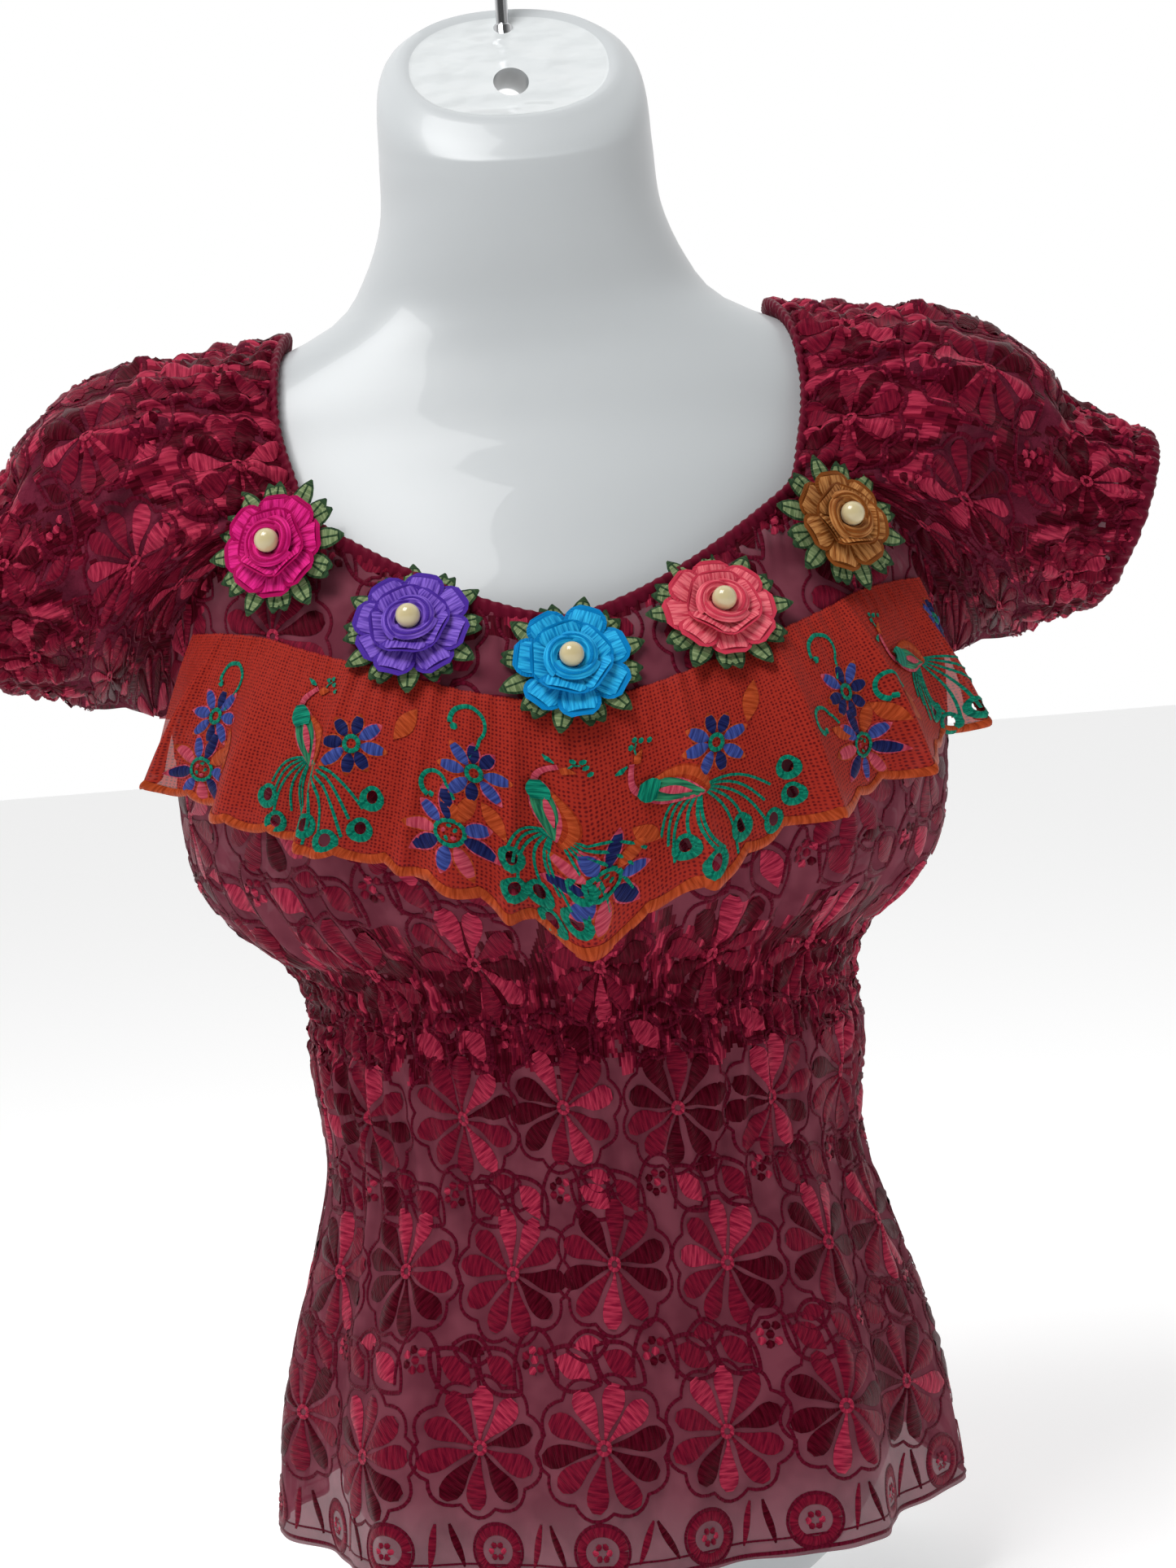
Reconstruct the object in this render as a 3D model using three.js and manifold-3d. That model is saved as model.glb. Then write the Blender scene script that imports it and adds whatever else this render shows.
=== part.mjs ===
// A puff-sleeved peasant blouse of sheer embroidered mesh, worn by a white display form.
// The blouse has an elastic neckline, shirred shoulders and cuffs, a shirred band under the bust, a net ruffle with
// cut eyelets, and five embroidered roses with pearl centres. The form is an armless torso with a slanted neck cap,
// a finger hole in the cap and a steel hook, and it stands on its own flat base.
// Millimetres, +Z up. The origin is the middle of the base, the front faces -Y, and +X is the wearer's left.
import * as THREE from "three";
import { mergeVertices } from "three/addons/utils/BufferGeometryUtils.js";
import Module from "manifold-3d";

const wasm = await Module();
wasm.setup();

// Driving dimensions
const CLOTH = 1.2; // wall of the mesh fabric
const NET = 1.0; // wall of the ruffle's net
const SEAM_GAP = 0.5; // between two pieces at a seam
const HEM_Z = 45;
const BUST_Z = 372;
const NECK_V_Z = 425; // lowest point of the front neckline
const NECK_CORNER = { x: 98, z: 472 }; // where the front neckline meets the shoulder
const BACK_CORNER = { x: 99, z: 510 };
const BACK_NECK_Z = 504;
const NECK_ROUNDING = 1.5; // 1 is a sharp V, 2 is a bowl
const SQUARENESS = 2.25; // superellipse power of every body section, 2 is an ellipse
const PANEL_COLUMNS = 56;
const RAGLAN_COLUMNS = 14;
const SHOULDER_COLUMNS = 36;
const PLEAT_STEP = 2; // columns from one pleat to the next
const SKIRT_FOLDS = 9; // soft folds of the skirt, all round
const PEARL_R = 4.8;
const QUARTER = Math.PI / 2;

// The worn cloth: height, half width, depth in front of the axis and depth behind it.
const CLOTH_SECTIONS = [
  { z: 45, side: 140, front: 124, back: 107 },
  { z: 90, side: 137, front: 118, back: 101 },
  { z: 125, side: 130, front: 110, back: 95 },
  { z: 160, side: 120, front: 101, back: 87 },
  { z: 198, side: 112, front: 94, back: 80 },
  { z: 243, side: 116, front: 98, back: 83 },
  { z: 266, side: 115, front: 99, back: 83 },
  { z: 286, side: 122, front: 105, back: 86 },
  { z: 305, side: 143, front: 119, back: 96 },
  { z: 325, side: 156, front: 130, back: 104 },
  { z: 350, side: 161, front: 135, back: 106 },
  { z: 392, side: 163, front: 133, back: 105 },
  { z: 430, side: 163, front: 116, back: 101 },
  { z: 455, side: 162, front: 101, back: 98 },
  { z: 478, side: 164, front: 88, back: 94 },
  { z: 500, side: 167, front: 73, back: 88 },
  { z: 520, side: 167, front: 62, back: 82 },
];

// The display form, base to neck. The last rows lean forward by tilt degrees to make the slanted cap.
const FORM_SECTIONS = [
  { z: 0, side: 66, front: 55, back: 48, tilt: 0 },
  { z: 10, side: 82, front: 68, back: 60, tilt: 0 },
  { z: 34, side: 105, front: 88, back: 77, tilt: 0 },
  { z: 65, side: 120, front: 100, back: 88, tilt: 0 },
  { z: 100, side: 124, front: 103, back: 90, tilt: 0 },
  { z: 145, side: 112, front: 92, back: 80, tilt: 0 },
  { z: 198, side: 98, front: 80, back: 69, tilt: 0 },
  { z: 245, side: 101, front: 84, back: 71, tilt: 0 },
  { z: 292, side: 111, front: 97, back: 78, tilt: 0 },
  { z: 340, side: 125, front: 113, back: 84, tilt: 0 },
  { z: 385, side: 135, front: 120, back: 90, tilt: 0 },
  { z: 430, side: 146, front: 108, back: 92, tilt: 0 },
  { z: 455, side: 155, front: 94, back: 90, tilt: 0 },
  { z: 478, side: 161, front: 80, back: 86, tilt: 0 },
  { z: 500, side: 162, front: 65, back: 80, tilt: 0 },
  { z: 520, side: 155, front: 55.5, back: 71.5, tilt: 0 },
  { z: 535, side: 127.6, front: 49.5, back: 61.5, tilt: 0 },
  { z: 544, side: 104, front: 47.5, back: 55.5, tilt: 0 },
  { z: 556, side: 81, front: 46, back: 51, tilt: 0 },
  { z: 572, side: 69, front: 47, back: 49, tilt: 0 },
  { z: 595, side: 60, front: 48, back: 48, tilt: 0 },
  { z: 623, side: 58, front: 48, back: 48, tilt: 16 },
  { z: 645, side: 57, front: 47, back: 47, tilt: 34 },
  { z: 654, side: 54, front: 44, back: 44, tilt: 38 },
  { z: 660, side: 47, front: 38, back: 38, tilt: 38 },
];

// Rows of the front and back panels, hem to bust, then by their share of the way up to the top edge.
// pleat is how far the gathers stand out, and fold how far the skirt's soft folds swing.
const PANEL_ROWS = [
  { z: 45, rise: 0, pleat: 0, fold: 6 },
  { z: 95, rise: 0, pleat: 0, fold: 4.5 },
  { z: 145, rise: 0, pleat: 0.3, fold: 2.5 },
  { z: 195, rise: 0, pleat: 1, fold: 0.8 },
  { z: 234, rise: 0, pleat: 2.4, fold: 0 },
  { z: 251, rise: 0, pleat: 1, fold: 0 },
  { z: 261, rise: 0, pleat: 3.2, fold: 0 },
  { z: 271, rise: 0, pleat: 1.2, fold: 0 },
  { z: 281, rise: 0, pleat: 3.2, fold: 0 },
  { z: 291, rise: 0, pleat: 1.2, fold: 0 },
  { z: 312, rise: 0, pleat: 2, fold: 0.6 },
  { z: 342, rise: 0, pleat: 0.4, fold: 0.6 },
  { z: BUST_Z, rise: 0, pleat: 0, fold: 0 },
  { z: BUST_Z, rise: 0.55, pleat: 0, fold: 0 },
  { z: BUST_Z, rise: 0.9, pleat: 0.4, fold: 0 },
  { z: BUST_Z, rise: 1, pleat: 0.7, fold: 0 },
];

// Raglan seams, neckline corner to underarm: angle round the body in degrees from centre front or back, and height.
// The first row's angle is worked out from the neckline's corner.
const FRONT_RAGLAN = [
  { degrees: null, z: NECK_CORNER.z },
  { degrees: 57, z: 454 },
  { degrees: 74, z: 429 },
  { degrees: 90, z: 392 },
];
const BACK_RAGLAN = [
  { degrees: null, z: BACK_CORNER.z },
  { degrees: 54, z: 480 },
  { degrees: 73, z: 440 },
  { degrees: 90, z: 392 },
];

// The neckline where it crosses the left shoulder, front to back, between the two corners.
const SHOULDER_LINE = [
  { x: 107, y: -51, z: 509 },
  { x: 106, y: -34, z: 535 },
  { x: 101, y: 4, z: 550 },
  { x: 104, y: 33, z: 542 },
  { x: 105, y: 54, z: 527 },
];

// The left sleeve at eight stations round it, from the underarm forward and over the top. column is where the
// station falls, out is how the cloth leaves the seam, and puff is how it swells before the cuff.
const SLEEVE_STATIONS = [
  { column: 0, out: [14, 0, 4], puff: [-12, 0, -5] },
  { column: 7, out: [18, -9, 0], puff: [-20, -16, -2] },
  { column: 14, out: [30, -3, 5], puff: [-28, -18, 10] },
  { column: 23, out: [34, -12, 14], puff: [-12, -20, 32] },
  { column: 32, out: [40, 0, -5], puff: [-6, 0, 41] },
  { column: 41, out: [34, 10, 6], puff: [-12, 18, 32] },
  { column: 50, out: [30, 3, 5], puff: [-28, 16, 10] },
  { column: 57, out: [18, 9, 0], puff: [-20, 15, -2] },
];
// Rows along the sleeve: share of the way to the cuff, then the cuff band's own rows.
const SLEEVE_ROWS = [
  { share: 0, cuff: 0, pleat: 1.6 },
  { share: 0.22, cuff: 0, pleat: 2.6 },
  { share: 0.5, cuff: 0, pleat: 1 },
  { share: 0.8, cuff: 0, pleat: 1.6 },
  { share: 1, cuff: 0, pleat: 2.2 },
  { share: 1, cuff: 0.55, pleat: 3 },
  { share: 1, cuff: 1, pleat: 1.8 },
];
const CUFF_START = { x: 212.5, z: 455, high: 47.5, deep: 50, lean: 9 };
const CUFF_END = { x: 248, z: 447, high: 37, deep: 44, lean: 24 };
const FRONT_RAGLAN_TURN = 80; // degrees round the cuff that the front raglan seam spans
const CUFF_Y = 2;

// The ruffle: share of its half length, height of its seam, and height of its lower edge.
const RUFFLE_HEIGHTS = [
  { share: 0, top: 390, edge: 302 },
  { share: 0.1, top: 394.5, edge: 315 },
  { share: 0.2, top: 399, edge: 328 },
  { share: 0.3, top: 404.5, edge: 336 },
  { share: 0.4, top: 410, edge: 343 },
  { share: 0.5, top: 415, edge: 347 },
  { share: 0.6, top: 420, edge: 352 },
  { share: 0.7, top: 425, edge: 358 },
  { share: 0.85, top: 428, edge: 366 },
  { share: 1, top: 429, edge: 373 },
];
const RUFFLE = { topTurn: 62, edgeTurn: 80, stand: 1.7, hang: 8, swing: 3.5, folds: 9.3, columns: 60 };
const RUFFLE_ROWS = [0, 0.25, 0.5, 0.75, 1];

// Eyelets of the ruffle's four bird motifs, one in each tail feather: share of the half length, share of the depth.
const EYELETS = [
  { r: -0.57, d: 0.77 },
  { r: -0.544, d: 0.9 },
  { r: -0.458, d: 0.835 },
  { r: -0.415, d: 0.895 },
  { r: -0.364, d: 0.82 },
  { r: -0.352, d: 0.65 },
  { r: -0.11, d: 0.72 },
  { r: -0.107, d: 0.85 },
  { r: -0.07, d: 0.84 },
  { r: -0.054, d: 0.93 },
  { r: -0.02, d: 0.86 },
  { r: -0.012, d: 0.74 },
  { r: 0.144, d: 0.785 },
  { r: 0.182, d: 0.885 },
  { r: 0.239, d: 0.83 },
  { r: 0.301, d: 0.895 },
  { r: 0.347, d: 0.81 },
  { r: 0.35, d: 0.665 },
  { r: 0.784, d: 0.8 },
  { r: 0.812, d: 0.905 },
  { r: 0.858, d: 0.85 },
  { r: 0.898, d: 0.9 },
  { r: 0.932, d: 0.8 },
  { r: 0.935, d: 0.66 },
];
const EYELET = { wide: 4.8, high: 6, sides: 6 };

// The five roses along the neckline, wearer's right to left. stand is how far the flat base lies off the cloth and
// tip how many degrees it faces up from it, so that the inner three clear the ruffle and the outer two the gathers.
const ROSES = [
  { name: "magenta", x: -106, z: 457, stand: 10.6, tip: -4, petals: 8, radius: 21, turn: 0.1, colour: 0xd81b78 },
  { name: "violet", x: -59, z: 423, stand: 4, tip: 5, petals: 8, radius: 23, turn: 0.5, colour: 0x6a45b5 },
  { name: "turquoise", x: 0, z: 405, stand: 3.3, tip: 5, petals: 7, radius: 23, turn: 0.3, colour: 0x1aa5e0 },
  { name: "coral", x: 59, z: 420, stand: 4.3, tip: 5, petals: 8, radius: 22, turn: 0.0, colour: 0xe8586a },
  { name: "amber", x: 109, z: 449, stand: 10.4, tip: -4, petals: 7, radius: 21, turn: 0.7, colour: 0xa8703c },
];
const ROSE_LEAVES = 12;
const LEAF_REACH = 27;
const ROSE_LAYERS = { leaf: 1, petal: 1.2, gap: 0.35, cupR: 11.5, cupH: 6 };
const ROSE_CUP = { floor: 1.2, rim: 1.6, flare: 2.5 };

// The hook over the cap, and the finger hole through it.
const HOOK = { wire: 5.5, collarR: 5.5, collarH: 9, y: 28, seatZ: 672, stem: 30, bendR: 24 };
const FINGER_HOLE = { r: 7.5, sides: 14, z: 650, length: 160 };

const vec = (x, y, z) => new THREE.Vector3(x, y, z);
const radians = THREE.MathUtils.degToRad;
const lerp = THREE.MathUtils.lerp;

// A smooth value of one column of a table at key, by cubic steps between its rows.
function lookup(table, keyName, key, column) {
  const last = table.length - 1;
  let i = 0;
  while (i < last - 1 && key > table[i + 1][keyName]) i++;
  const slope = (k) => {
    const lo = table[Math.max(k - 1, 0)];
    const hi = table[Math.min(k + 1, last)];
    return (hi[column] - lo[column]) / (hi[keyName] - lo[keyName]);
  };
  const [a, b] = [table[i], table[i + 1]];
  const span = b[keyName] - a[keyName];
  const t = THREE.MathUtils.clamp((key - a[keyName]) / span, 0, 1);
  const [t2, t3] = [t * t, t * t * t];
  return (
    (2 * t3 - 3 * t2 + 1) * a[column] +
    (t3 - 2 * t2 + t) * span * slope(i) +
    (3 * t2 - 2 * t3) * b[column] +
    (t3 - t2) * span * slope(i + 1)
  );
}

const squared = (v) => Math.sign(v) * Math.abs(v) ** (2 / SQUARENESS);

// The bust's fullness over a plain section, so that front panel and form keep their distance.
function fullness(angle, z) {
  const across = (Math.abs(angle) - 0.55) / 0.36;
  const up = (z - 378) / 40;
  return 8 * Math.exp(-across * across - up * up);
}

// A point on a body: angle 0 is centre front and 90 degrees is the wearer's left side.
function body(table, angle, z) {
  const turned = Math.atan2(Math.sin(angle), Math.cos(angle));
  const side = lookup(table, "z", z, "side");
  const depth = lookup(table, "z", z, Math.cos(turned) > 0 ? "front" : "back");
  return vec(side * squared(Math.sin(turned)), -depth * squared(Math.cos(turned)) - fullness(turned, z), z);
}

function outward(table, angle, z) {
  const step = 0.01;
  const across = body(table, angle + step, z).sub(body(table, angle - step, z));
  const up = body(table, angle, z + 1).sub(body(table, angle, z - 1));
  return across.cross(up).normalize();
}

// The angle at which a section reaches x, from centre front or centre back.
function angleAt(x, z) {
  const share = Math.abs(x) / lookup(CLOTH_SECTIONS, "z", z, "side");
  return Math.asin(Math.min(1, share ** (SQUARENESS / 2))) * Math.sign(x || 1);
}

// Meshes

function meshOf(points, triangles) {
  const geometry = new THREE.BufferGeometry();
  geometry.setAttribute("position", new THREE.Float32BufferAttribute(points.flatMap((p) => [p.x, p.y, p.z]), 3));
  let volume = 0;
  for (const [a, b, c] of triangles) volume += points[a].dot(vec().crossVectors(points[b], points[c]));
  const facing = volume < 0 ? triangles.map(([a, b, c]) => [a, c, b]) : triangles;
  geometry.setIndex(facing.flat());
  return geometry;
}

// A wall between two grids of points, outer and inner, rows by columns. A wall that closes on itself goes round.
function wall(outer, inner, round) {
  const rows = outer.length;
  const columns = outer[0].length;
  const points = [...outer.flat(), ...inner.flat()];
  const triangles = [];
  const at = (layer, j, i) => layer * rows * columns + j * columns + (i % columns);
  const quad = (a, b, c, d) => triangles.push([a, b, c], [a, c, d]);
  const spans = round ? columns : columns - 1;
  for (let j = 0; j < rows - 1; j++)
    for (let i = 0; i < spans; i++) {
      quad(at(0, j, i), at(0, j, i + 1), at(0, j + 1, i + 1), at(0, j + 1, i));
      quad(at(1, j, i), at(1, j + 1, i), at(1, j + 1, i + 1), at(1, j, i + 1));
    }
  for (let i = 0; i < spans; i++) {
    quad(at(0, 0, i), at(1, 0, i), at(1, 0, i + 1), at(0, 0, i + 1));
    quad(at(0, rows - 1, i), at(0, rows - 1, i + 1), at(1, rows - 1, i + 1), at(1, rows - 1, i));
  }
  if (!round)
    for (let j = 0; j < rows - 1; j++) {
      quad(at(0, j, 0), at(0, j + 1, 0), at(1, j + 1, 0), at(1, j, 0));
      quad(at(0, j, spans), at(1, j, spans), at(1, j + 1, spans), at(0, j + 1, spans));
    }
  return meshOf(points, triangles);
}

// A plate from a ring of top points and a ring of bottom points, fanned from their centres.
function plate(top, bottom, topCentre, bottomCentre) {
  const n = top.length;
  const points = [...top, ...bottom, topCentre, bottomCentre];
  const triangles = [];
  for (let i = 0; i < n; i++) {
    const next = (i + 1) % n;
    triangles.push([i, next, 2 * n], [n + next, n + i, 2 * n + 1], [i, n + i, n + next], [i, n + next, next]);
  }
  return meshOf(points, triangles);
}

function solidOf(geometry) {
  const bare = geometry.clone();
  bare.deleteAttribute("normal");
  bare.deleteAttribute("uv");
  const merged = mergeVertices(bare, 1e-4);
  return new wasm.Manifold(
    new wasm.Mesh({
      numProp: 3,
      vertProperties: new Float32Array(merged.attributes.position.array),
      triVerts: new Uint32Array(merged.index.array),
    }),
  );
}

function geometryOf(solid) {
  const made = solid.getMesh();
  const geometry = new THREE.BufferGeometry();
  geometry.setAttribute("position", new THREE.Float32BufferAttribute(made.vertProperties, 3));
  geometry.setIndex(Array.from(made.triVerts));
  return geometry;
}

const blouse = new THREE.Group();

function add(name, geometry, colour, roughness, metalness = 0) {
  const mesh = new THREE.Mesh(geometry, new THREE.MeshStandardMaterial({ color: colour, roughness, metalness }));
  mesh.name = name;
  blouse.add(mesh);
}

// Front and back panels

// Where a panel's top edge is at column share c, as an angle from its own centre line and a height.
function topEdge(isFront, c) {
  const share = Math.abs(c);
  const corner = isFront ? NECK_CORNER : BACK_CORNER;
  if (share <= 0.5) {
    const m = share / 0.5;
    const low = isFront ? NECK_V_Z : BACK_NECK_Z;
    const z = low + (corner.z - low) * m ** NECK_ROUNDING;
    return { angle: Math.abs(angleAt(corner.x * m, z)) * Math.sign(c), z };
  }
  const rows = (isFront ? FRONT_RAGLAN : BACK_RAGLAN).map((row, i) => ({
    m: i / 3,
    degrees: row.degrees ?? THREE.MathUtils.radToDeg(angleAt(corner.x, corner.z)),
    z: row.z,
  }));
  const m = (share - 0.5) / 0.5;
  return {
    angle: radians(lookup(rows, "m", m, "degrees")) * Math.sign(c),
    z: lookup(rows, "m", m, "z"),
  };
}

// The point of a panel's seam that both the panel and the sleeve are cut to.
function seamPoint(isFront, c) {
  const edge = topEdge(isFront, c);
  return body(CLOTH_SECTIONS, isFront ? edge.angle : Math.PI - edge.angle, edge.z);
}

function panel(isFront) {
  const outer = [];
  const inner = [];
  for (const row of PANEL_ROWS) {
    const outerRow = [];
    const innerRow = [];
    for (let i = 0; i <= PANEL_COLUMNS; i++) {
      const c = (2 * i) / PANEL_COLUMNS - 1;
      const edge = topEdge(isFront, c);
      const z = lerp(row.z, edge.z - SEAM_GAP / 2, row.rise);
      const margin = SEAM_GAP / 2 / lookup(CLOTH_SECTIONS, "z", z, "front");
      const own = lerp(c * (QUARTER - margin), edge.angle * (1 - margin), row.rise);
      const angle = isFront ? own : Math.PI - own;
      const point = body(CLOTH_SECTIONS, angle, z);
      const normal = outward(CLOTH_SECTIONS, angle, z);
      const swing = row.fold * Math.cos(SKIRT_FOLDS * angle + 0.6);
      const pleat = i % PLEAT_STEP ? row.pleat : 0;
      innerRow.push(point.clone().addScaledVector(normal, swing));
      outerRow.push(point.clone().addScaledVector(normal, swing + CLOTH + pleat));
    }
    inner.push(innerRow);
    outer.push(outerRow);
  }
  return wall(outer, inner, false);
}

// Sleeves

const SLEEVE_COLUMNS = 2 * RAGLAN_COLUMNS + SHOULDER_COLUMNS;

function shoulderCurve() {
  const points = [
    seamPoint(true, 0.5),
    ...SHOULDER_LINE.map((p) => vec(p.x, p.y, p.z)),
    seamPoint(false, 0.5),
  ];
  return new THREE.CatmullRomCurve3(points, false, "centripetal");
}

// The sleeve's inner boundary: up the front raglan seam, over the shoulder along the neckline, down the back one.
function sleeveSeam() {
  const points = [];
  const shoulder = shoulderCurve();
  const shareUp = (k) => 1 - (0.5 * k) / RAGLAN_COLUMNS;
  for (let k = 0; k < RAGLAN_COLUMNS; k++) points.push(seamPoint(true, shareUp(k)));
  for (let k = 0; k < SHOULDER_COLUMNS; k++) points.push(shoulder.getPointAt(k / SHOULDER_COLUMNS));
  for (let k = RAGLAN_COLUMNS; k > 0; k--) points.push(seamPoint(false, shareUp(k)));
  return points;
}

// A closed curve's value at a column, through the eight stations' own vectors.
function stationCurve(name) {
  const points = SLEEVE_STATIONS.map((s) => vec(...s[name]));
  const curve = new THREE.CatmullRomCurve3(points, true, "catmullrom");
  return (column) => {
    let k = 0;
    while (k < SLEEVE_STATIONS.length - 1 && column >= SLEEVE_STATIONS[k + 1].column) k++;
    const end = SLEEVE_STATIONS[k + 1]?.column ?? SLEEVE_COLUMNS;
    const start = SLEEVE_STATIONS[k].column;
    return curve.getPoint((k + (column - start) / (end - start)) / SLEEVE_STATIONS.length);
  };
}

function cuffPoint(column, share) {
  const front = radians(FRONT_RAGLAN_TURN);
  const over = 2 * Math.PI - 2 * front;
  let turn = (column / RAGLAN_COLUMNS) * front;
  if (column > RAGLAN_COLUMNS) turn = front + ((column - RAGLAN_COLUMNS) / SHOULDER_COLUMNS) * over;
  if (column > RAGLAN_COLUMNS + SHOULDER_COLUMNS)
    turn = 2 * Math.PI - ((SLEEVE_COLUMNS - column) / RAGLAN_COLUMNS) * front;
  const ring = {};
  for (const key of Object.keys(CUFF_START)) ring[key] = lerp(CUFF_START[key], CUFF_END[key], share);
  const lean = radians(ring.lean);
  const rise = -ring.high * Math.cos(turn);
  return vec(ring.x + rise * Math.sin(lean), CUFF_Y - ring.deep * Math.sin(turn), ring.z + rise * Math.cos(lean));
}

function sleeve(mirror) {
  const seam = sleeveSeam();
  const outAt = stationCurve("out");
  const puffAt = stationCurve("puff");
  const middle = SLEEVE_ROWS.map((row) =>
    seam.map((start, i) => {
      const fromUnderarm = Math.min(i, SLEEVE_COLUMNS - i);
      const lift = (CLOTH + SEAM_GAP) * Math.exp(-((fromUnderarm / 3) ** 2));
      const first = start.clone().add(vec(SEAM_GAP, 0, lift));
      const cuff = cuffPoint(i, 0);
      if (row.share === 1) return cuffPoint(i, row.cuff);
      return new THREE.CubicBezierCurve3(
        first,
        first.clone().add(outAt(i)),
        cuff.clone().add(puffAt(i)),
        cuff,
      ).getPoint(row.share);
    }),
  );
  const outer = [];
  const inner = [];
  const rows = middle.length;
  for (let j = 0; j < rows; j++) {
    const outerRow = [];
    const innerRow = [];
    for (let i = 0; i < SLEEVE_COLUMNS; i++) {
      const point = middle[j][i];
      const next = middle[j][(i + 1) % SLEEVE_COLUMNS];
      const last = middle[j][(i + SLEEVE_COLUMNS - 1) % SLEEVE_COLUMNS];
      const round = next.clone().sub(last);
      const along = middle[Math.min(j + 1, rows - 1)][i].clone().sub(middle[Math.max(j - 1, 0)][i]);
      const normal = along.cross(round).normalize();
      const onShoulder = i > RAGLAN_COLUMNS && i < RAGLAN_COLUMNS + SHOULDER_COLUMNS;
      const gathered = onShoulder || j > 2;
      const pleat = gathered && i % PLEAT_STEP ? SLEEVE_ROWS[j].pleat : 0;
      outerRow.push(point.clone().addScaledVector(normal, pleat));
      innerRow.push(point.clone().addScaledVector(normal, -CLOTH));
    }
    outer.push(outerRow);
    inner.push(innerRow);
  }
  const flip = (grid) => grid.map((row) => row.map((p) => vec(mirror * p.x, p.y, p.z)));
  return wall(flip(outer), flip(inner), true);
}

// The ruffle

// A point at share r of the ruffle's half length and share d of its depth, raised over the net's inner face.
function rufflePoint(r, d, raised) {
  const angle = radians(lerp(RUFFLE.topTurn, RUFFLE.edgeTurn, d)) * r;
  const share = Math.abs(r);
  const z = lerp(lookup(RUFFLE_HEIGHTS, "share", share, "top"), lookup(RUFFLE_HEIGHTS, "share", share, "edge"), d);
  const hang = RUFFLE.hang * (1 + 0.5 * Math.exp(-((r / 0.3) ** 2)) + 0.5 * share ** 6);
  const fold = RUFFLE.swing * Math.cos(Math.PI * RUFFLE.folds * r);
  const height = RUFFLE.stand + (hang + fold) * d + raised;
  return body(CLOTH_SECTIONS, angle, z).addScaledVector(outward(CLOTH_SECTIONS, angle, z), height);
}

function eyeletCutter(r, d) {
  const centre = rufflePoint(r, d, 0);
  const step = 0.01;
  const across = rufflePoint(r + step, d, 0).sub(rufflePoint(r - step, d, 0)).normalize();
  const normal = across.clone().cross(rufflePoint(r, d - step, 0).sub(rufflePoint(r, d + step, 0))).normalize();
  const up = normal.clone().cross(across);
  const ring = (depth) =>
    Array.from({ length: EYELET.sides }, (_, k) => {
      const turn = (2 * Math.PI * k) / EYELET.sides;
      return centre
        .clone()
        .addScaledVector(across, (EYELET.wide / 2) * Math.cos(turn))
        .addScaledVector(up, (EYELET.high / 2) * Math.sin(turn))
        .addScaledVector(normal, depth);
    });
  const reach = 3;
  const off = (depth) => centre.clone().addScaledVector(normal, depth);
  return solidOf(plate(ring(reach), ring(-reach), off(reach), off(-reach)));
}

function ruffle() {
  const grid = (raised) =>
    RUFFLE_ROWS.map((d) =>
      Array.from({ length: RUFFLE.columns + 1 }, (_, i) => rufflePoint((2 * i) / RUFFLE.columns - 1, d, raised)),
    );
  let solid = solidOf(wall(grid(NET), grid(0), false));
  for (const eyelet of EYELETS) solid = solid.subtract(eyeletCutter(eyelet.r, eyelet.d));
  return geometryOf(solid);
}

// The roses

// A rose's own axes: its seat over the panel, and the directions across, up and out of its flat base.
function roseAxes(rose) {
  const angle = angleAt(rose.x, rose.z);
  const facing = outward(CLOTH_SECTIONS, angle, rose.z);
  const seat = body(CLOTH_SECTIONS, angle, rose.z).addScaledVector(facing, rose.stand);
  const across = vec(0, 0, 1).cross(facing).normalize();
  const out = facing.clone().applyAxisAngle(across, radians(-rose.tip));
  return { seat, across, up: out.clone().cross(across), out };
}

function roseDisc(axes, reach, low, thick, sides, turned) {
  const place = (r, turn, height) =>
    axes.seat
      .clone()
      .addScaledVector(axes.across, r * Math.cos(turn))
      .addScaledVector(axes.up, r * Math.sin(turn))
      .addScaledVector(axes.out, height);
  const ring = (height) =>
    Array.from({ length: sides }, (_, k) => place(reach(k), turned + (2 * Math.PI * k) / sides, height));
  return plate(ring(low + thick), ring(low), place(0, 0, low + thick), place(0, 0, low));
}

function addRose(rose) {
  const { leaf, petal, gap, cupR, cupH } = ROSE_LAYERS;
  const axes = roseAxes(rose);
  const leafReach = (k) => (k % 2 ? LEAF_REACH - 6 : LEAF_REACH);
  const petalReach = (k) => (k % 3 === 0 ? rose.radius - 3 : rose.radius);
  const petalLow = leaf + gap;
  const cupLow = petalLow + petal + gap;
  const leaves = roseDisc(axes, leafReach, 0, leaf, 2 * ROSE_LEAVES, rose.turn);
  const petals = roseDisc(axes, petalReach, petalLow, petal, 3 * rose.petals, rose.turn);
  const facing = new THREE.Quaternion().setFromUnitVectors(vec(0, 1, 0), axes.out);
  const seated = (geometry, height) => {
    const at = axes.seat.clone().addScaledVector(axes.out, height);
    return geometry.applyQuaternion(facing).translate(at.x, at.y, at.z);
  };
  const { floor, rim, flare } = ROSE_CUP;
  const profile = [
    new THREE.Vector2(0, 0),
    new THREE.Vector2(cupR - flare, 0),
    new THREE.Vector2(cupR, cupH),
    new THREE.Vector2(cupR - rim, cupH),
    new THREE.Vector2(cupR - flare - rim, floor),
    new THREE.Vector2(0, floor),
  ];
  add(`rose_${rose.name}_leaves`, leaves, 0x3f5a3c, 0.8);
  add(`rose_${rose.name}_petals`, petals, rose.colour, 0.6);
  add(`rose_${rose.name}_heart`, seated(new THREE.LatheGeometry(profile, 12), cupLow), rose.colour, 0.6);
  const pearl = new THREE.SphereGeometry(PEARL_R, 8, 6);
  add(`rose_${rose.name}_pearl`, seated(pearl, cupLow + floor + gap + PEARL_R), 0xe8dcb4, 0.25);
}

// The display form and its hook

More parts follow.
